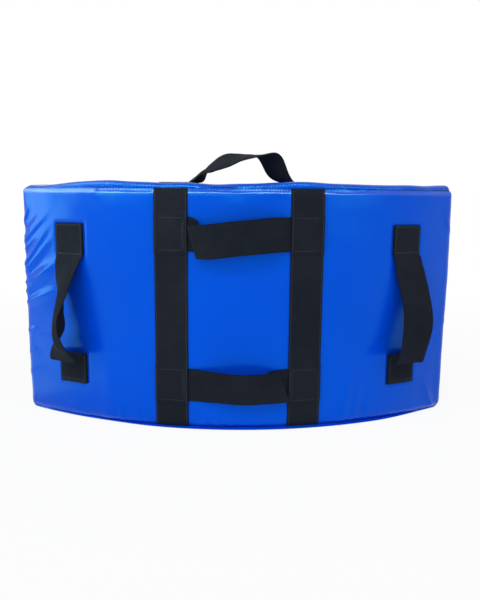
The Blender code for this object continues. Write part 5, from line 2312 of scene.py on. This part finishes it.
@dataclass
class CarryHandle:
    """The carry handle on the top gusset."""

    form: ShieldForm
    finishes: Finishes
    stitching: Stitching
    band: Band
    span: float = 0.156
    shift: float = 0.0030
    rise: float = 0.0475
    tab: float = 0.0420
    sink: float = 0.0012
    box_margin: float = 0.0034
    fold_at: float = -0.3
    shape: tuple[tuple[float, ...], ...] = (
        (-0.90, 0.08, 6.0, 13.0, 26.0),
        (-0.85, 0.10, 7.0, 11.0, 36.0),
        (-0.80, 0.16, 8.0, 9.0, 39.0),
        (-0.74, 0.30, 10.0, 4.5, 30.0),
        (-0.68, 0.45, 15.0, 0.0, 9.0),
        (-0.62, 0.51, 18.0, 0.0, 0.0),
        (-0.55, 0.57, 22.0, 0.0, 0.0),
        (-0.48, 0.635, 25.0, 0.0, 0.0),
        (-0.40, 0.69, 27.0, 0.0, 0.0),
        (-0.32, 0.735, 27.0, 0.0, 0.0),
        (-0.23, 0.77, 25.0, 0.0, 0.0),
        (-0.12, 0.81, 20.0, 0.0, 0.0),
        (-0.02, 0.85, 15.5, 0.0, 0.0),
        (0.08, 0.875, 12.0, -1.0, 0.0),
        (0.16, 0.893, 9.5, -3.0, 0.0),
        (0.32, 0.92, 4.0, -9.0, 0.0),
        (0.46, 0.91, -6.0, -19.0, 0.0),
        (0.54, 0.83, -12.0, -24.0, 0.0),
        (0.61, 0.68, -15.0, -27.0, 0.0),
        (0.66, 0.52, -11.0, -28.0, 0.0),
        (0.73, 0.31, -3.0, -27.0, 0.0),
        (0.83, 0.16, 0.0, -20.0, 0.0),
    )

    def bed(self, along: Array, across: Array, out: Array) -> Array:
        """The top gusset as the handle meets it: pressed in under the two tabs.

        Args:
            along: Length to the right.
            across: Length away from the holder.
            out: Distance over the gusset.

        Returns:
            One row of X, Y and Z for each point.
        """
        tabs = within(np.abs(along - self.shift), self.span / 2 - 0.006, self.span / 2 + self.tab, 0.015)
        sunk = self.sink * tabs * (1.0 - ease(out, 0.004, 0.016))
        return self.form.top_bed(along, across, out - sunk)

    def build(self) -> None:
        """Build the handle and the stitching of its two tabs."""
        band = self.band
        half = self.span / 2
        left = self.shift - half
        right = self.shift + half
        left_tab = band.tab(left, left - self.tab)
        right_tab = band.tab(right, right + self.tab)
        middle = [left_tab[-1]]
        for share, out, tilt, skew, bend in self.shape:
            along = self.shift + share * half
            middle.append(Row(along, out * self.rise, 0.0, tilt, skew, bend, self.fold_at))
        middle.append(right_tab[-1])
        rows = band.loop(left_tab, middle, right_tab)
        piece = band.build("carry_handle_webbing", rows, self.bed, 51)
        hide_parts("carry_handle", "carry_handle_left_end", "carry_handle_right_end")
        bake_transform(piece)
        self.stitch(left - self.tab, left)
        self.stitch(right, right + self.tab)
        log.info("%s built", piece.name)

    def stitch(self, low: float, high: float) -> None:
        """A box of stitching on one tab.

        Args:
            low: Where the tab starts.
            high: Where it ends.
        """
        band = self.band
        over = band.upper_bed + band.thickness / 2 + self.stitching.lift
        side = band.width / 2 - self.stitching.margin
        ends = (low + self.box_margin, high - self.box_margin)
        runs = [((ends[0], way * side), (ends[1], way * side)) for way in (-1, 1)]
        runs += [((end, -side), (end, side)) for end in ends]
        paths, outs = zip(*(straight_run(self.bed, start, end, over, 24) for start, end in runs))
        name = "carry_left_stitches" if low < 0 else "carry_right_stitches"
        self.stitching.run(name, paths, outs, self.finishes.dark_thread)


@dataclass
class Zip:
    """The closed zip on the right end: coil teeth, tapes, stops, slider and pull."""

    form: ShieldForm
    finishes: Finishes
    nodes: dict[str, Piece]
    length: float = 0.300
    pitch: float = 0.0030
    base: float = 0.0040
    height: float = 0.0024
    width: float = 0.0060
    tooth: float = 0.0040
    tooth_share: float = 0.42

    def build(self) -> None:
        """Build the zip."""
        for name in ("zip_front_tape", "zip_rear_tape"):
            self.finishes.tape.cover_node(self.nodes[name])
        self.teeth()
        for name, body, bevel in (
            ("zip_top_stop", Body.SHIELD, 0.0003),
            ("zip_bottom_stop", Body.SHIELD, 0.0003),
            ("zip_slider", Body.SLIDER, 0.00025),
            ("zip_pull", Body.PULL, 0.0003),
        ):
            piece = Bench.refined(self.nodes[name], name + "_plated", bevel)
            self.finishes.nickel.dress(piece)
            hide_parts(name)
            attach(piece, body.value)
            log.info("%s built", piece.name)

    def teeth(self) -> None:
        """Two rows of interlocked coil teeth, one tooth modelled and copied."""
        matrix = end_matrix(self.form, Side.RIGHT, ZIP_MIDDLE)
        size = (self.tooth, self.height, self.pitch * self.tooth_share)
        bpy.ops.mesh.primitive_cube_add(size=1.0, scale=size)
        tooth = Bench.named("tooth")
        Bench.settle(tooth)
        Bench.modify(tooth, "BEVEL", width=0.0004, segments=2)
        Bench.smooth(tooth, 60.0)
        shape = Bench.corners(tooth)
        made = []
        count = int(self.length / self.pitch)
        for side in (-1, 1):
            for index in range(count):
                level = -self.length / 2 + (index + (0.25 if side > 0 else 0.75)) * self.pitch
                copy = Bench.linked("tooth", tooth.data.copy())
                shift = (side * (self.width / 2 - self.tooth / 2), self.base + self.height / 2, level)
                Bench.put(copy, shape + np.array(shift))
                made.append(copy)
        bpy.data.objects.remove(tooth)
        piece = Bench.join("zip_coil", made)
        piece.data.transform(matrix)
        self.finishes.teeth.dress(piece)
        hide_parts("zip_teeth")
        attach(piece, Body.SHIELD.value)
        log.info("zip_coil: %d teeth", len(made))


@dataclass
class Vents:
    """The two eyelets and their washers on the left end."""

    form: ShieldForm
    finishes: Finishes
    nodes: dict[str, Piece]
    bore: float = 0.0025
    wall: float = 0.0006
    flange: float = 0.0062
    base: float = 0.0053
    barrel: float = 0.0015

    def build(self) -> None:
        """Build both eyelets."""
        for word, height in zip(("low", "high"), VENT_HEIGHTS):
            self.eyelet("vent_eyelet_" + word, height)
            self.finishes.nickel.cover_node(self.nodes["vent_washer_" + word])

    def eyelet(self, name: str, height: float) -> None:
        """Turn one eyelet: a bell that rolls out of the bore, with its clenched barrel inside.

        Args:
            name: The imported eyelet.
            height: Height of its middle.
        """
        rim = self.base
        outline = [
            (self.bore, -self.barrel),
            (self.bore + self.wall, -self.barrel),
            (self.bore + self.wall, rim),
            (self.flange - self.wall * 0.4, rim),
            (self.flange, rim + self.wall * 0.3),
            (self.flange - self.wall * 0.3, rim + self.wall * 0.9),
            (self.flange - self.wall * 2.5, rim + self.wall * 1.5),
            (self.bore + self.wall, rim + self.wall * 1.3),
            (self.bore, rim + self.wall * 0.5),
        ]
        bpy.ops.mesh.primitive_circle_add(vertices=len(outline), radius=1.0)
        piece = Bench.named(name + "_plated")
        Bench.put(piece, np.array([(radius, 0.0, level) for radius, level in outline]))
        Bench.edit(
            piece,
            lambda: bpy.ops.mesh.spin(steps=48, angle=2 * pi, center=(0, 0, 0), axis=(0, 0, 1)),
            lambda: bpy.ops.mesh.select_all(action="SELECT"),
            lambda: bpy.ops.mesh.remove_doubles(threshold=0.000002),
            lambda: bpy.ops.mesh.normals_make_consistent(inside=False),
        )
        piece.data.transform(end_matrix(self.form, Side.LEFT, height) @ Matrix.Rotation(-pi / 2, 4, "X"))
        Bench.smooth(piece, 50.0)
        self.finishes.nickel.dress(piece)
        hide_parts(name)
        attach(piece, Body.SHIELD.value)
        log.info("%s built", piece.name)


@dataclass
class Inside:
    """The foam and the backing patches, which the cover hides."""

    finishes: Finishes
    nodes: dict[str, Piece]

    def build(self) -> None:
        """Give the hidden pieces their finishes."""
        self.finishes.foam.cover_node(self.nodes["foam_core"])
        self.finishes.soft_foam.cover_node(self.nodes["impact_layer"])
        for name in ("left_backing", "right_backing", "top_backing"):
            self.finishes.lining.cover_node(self.nodes[name])


@dataclass
class Studio:
    """Camera, pale floor and soft lights."""

    camera_place: tuple[float, float, float] = (-0.01316, -0.94306, 0.34497)
    pitch: float = radians(9.26)
    yaw: float = radians(0.97)
    roll: float = radians(0.464)
    lens: float = 36.6
    floor_size: float = 30.0
    floor_drop: float = 0.0003
    world_light: float = 0.34

    def build(self) -> None:
        """Set the studio up."""
        scene = bpy.context.scene
        scene.view_settings.view_transform = "Standard"
        self.camera()
        self.floor()
        self.world()
        cool = (0.70, 0.90, 1.0)
        left = self.softbox("left_light", (-1.38, -1.52, 1.00), (0.0, 0.0, 0.20), (1.50, 1.50), 14.0, cool)
        left.visible_glossy = False
        self.softbox("right_light", (1.30, -1.60, 0.90), (0.1, 0.0, 0.15), (1.20, 1.20), 6.5)
        pale = (0.92, 0.98, 1.0)
        self.softbox("top_light", (-0.30, -1.84, 2.75), (-0.30, -0.06, 0.36), (5.80, 0.42), 43.0, pale)
        card = self.softbox("floor_card", (-0.88, -0.72, 0.02), (-0.88, -0.72, 1.0), (0.90, 0.90), 3.5)
        card.visible_glossy = False
        shines = (
            ("left_gloss", (-1.70, -0.33, 0.66), (0.0, -0.33, 0.66), (0.62, 1.10), 11.5, cool),
            ("left_strip", (-1.40, -1.05, 0.84), (-0.25, 0.0, 0.50), (0.34, 0.76), 3.6, cool),
            ("left_shine", (-1.70, -0.40, 1.70), (0.0, -0.30, 0.70), (1.90, 1.00), 42.0, cool),
            ("front_shine", (-0.90, -2.00, 1.05), (0.0, -0.06, 0.35), (2.40, 0.90), 22.0, cool),
            ("band_shine", (-0.30, -2.35, 2.73), (-0.30, -0.06, 0.36), (5.80, 0.55), 190.0, (1.0, 1.0, 1.0)),
            ("left_floor_shine", (-0.80, -0.01, 0.004), (-0.80, -0.01, 1.0), (0.80, 0.44), 1.4, cool),
        )
        for name, place, target, size, power, color in shines:
            self.softbox(name, place, target, size, power, color).visible_diffuse = False
        glow = self.softbox("floor_glow", (0.0, -0.30, 0.0008), (0.0, -0.30, 1.0), (1.10, 0.44), 0.6)
        glow.visible_glossy = False

    def camera(self) -> None:
        """The photograph's viewpoint."""
        data = bpy.data.cameras.new("camera")
        data.lens = self.lens
        data.sensor_width = 36.0
        camera = Bench.linked("camera", data)
        ahead = Vector((sin(self.yaw) * cos(self.pitch), cos(self.yaw) * cos(self.pitch), -sin(self.pitch)))
        right = Vector((cos(self.yaw), -sin(self.yaw), 0.0))
        up = right.cross(ahead)
        right = right * cos(self.roll) + up * sin(self.roll)
        up = right.cross(ahead)
        turn = Matrix((right, up, -ahead)).transposed().to_4x4()
        camera.matrix_world = Matrix.Translation(Vector(self.camera_place)) @ turn
        bpy.context.scene.camera = camera

    def softbox(
        self,
        name: str,
        place: tuple[float, float, float],
        target: tuple[float, float, float],
        size: tuple[float, float],
        power: float,
        color: Color = (1.0, 1.0, 1.0),
    ) -> Piece:
        """A rectangular soft light.

        Args:
            name: The light's name.
            place: Where it is.
            target: What it points at.
            size: Its width and height.
            power: Its power in watts.
            color: Its colour.

        Returns:
            The light.
        """
        data = bpy.data.lights.new(name, "AREA")
        data.shape = "RECTANGLE"
        data.size, data.size_y = size
        data.energy = power
        data.color = color
        light = Bench.linked(name, data)
        light.visible_camera = False
        aim = Vector(target) - Vector(place)
        turn = aim.to_track_quat("-Z", "Y").to_matrix().to_4x4()
        light.matrix_world = Matrix.Translation(Vector(place)) @ turn
        return light

    @staticmethod
    def background_rays(tree: Tree) -> Socket:
        """1 for rays that see the white background: from the camera, off gloss or through glass.

        Args:
            tree: The tree that it is written into.

        Returns:
            The value.
        """
        path = tree.add("LightPath")
        seen = tree.math("MAXIMUM", path.outputs["Is Camera Ray"], path.outputs["Is Glossy Ray"])
        return tree.math("MAXIMUM", seen, path.outputs["Is Transmission Ray"])

    def floor(self) -> None:
        """A pale floor that the camera sees as white, but for the shield's soft shadow."""
        bpy.ops.mesh.primitive_plane_add(size=self.floor_size, location=(0.0, 0.0, -self.floor_drop))
        floor = Bench.named("floor")
        material = bpy.data.materials.new("pale_floor")
        material.use_nodes = True
        tree = Tree(material.node_tree)
        shader = material.node_tree.nodes["Principled BSDF"]
        place = tree.place()
        shade = tree.remap(tree.noise(place, 3.0), 0.0, 1.0, 0.88, 0.92)
        color = tree.add("CombineColor", {0: shade, 1: shade, 2: shade}).outputs[0]
        tree.plug(color, shader.inputs["Base Color"])
        shader.inputs["Roughness"].default_value = 0.9
        shader.inputs["Specular IOR Level"].default_value = 0.0
        white = tree.add("Emission", {"Color": (1.0, 1.0, 1.0, 1.0), "Strength": 1.0})
        seen = self.background_rays(tree)
        away = tree.add("VectorMath", {0: place}, operation="LENGTH").outputs["Value"]
        seen = tree.math("MULTIPLY", seen, tree.remap(away, 0.5, 1.6, 0.92, 1.0))
        both = tree.add("MixShader", {0: seen, 1: shader.outputs[0], 2: white.outputs[0]})
        output = material.node_tree.nodes["Material Output"]
        tree.plug(both.outputs[0], output.inputs["Surface"])
        floor.data.materials.append(material)

    def world(self) -> None:
        """A plain grey surround that the camera sees as white."""
        world = bpy.data.worlds.new("studio")
        bpy.context.scene.world = world
        world.use_nodes = True
        tree = Tree(world.node_tree)
        background = world.node_tree.nodes["Background"]
        strength = tree.remap(self.background_rays(tree), 0.0, 1.0, self.world_light, 1.0)
        background.inputs["Color"].default_value = (1.0, 1.0, 1.0, 1.0)
        tree.plug(strength, background.inputs["Strength"])


def main() -> None:
    """Build every sub-assembly in order, then the studio."""
    logging.basicConfig(level=logging.INFO, format="%(name)s: %(message)s")
    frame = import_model()
    nodes = frame["nodes"]
    Effects.build()
    form = ShieldForm()
    finishes = Finishes()
    stitching = Stitching()
    band = Band(form, finishes)
    Cover(form, finishes, stitching).build()
    Straps(form, finishes, stitching, band).build()
    Grips(form, band).build()
    SideHandles(form, finishes, stitching, band).build()
    CarryHandle(form, finishes, stitching, band).build()
    Zip(form, finishes, nodes).build()
    Vents(form, finishes, nodes).build()
    Inside(finishes, nodes).build()
    Studio().build()


if __name__ == "__main__":
    main()
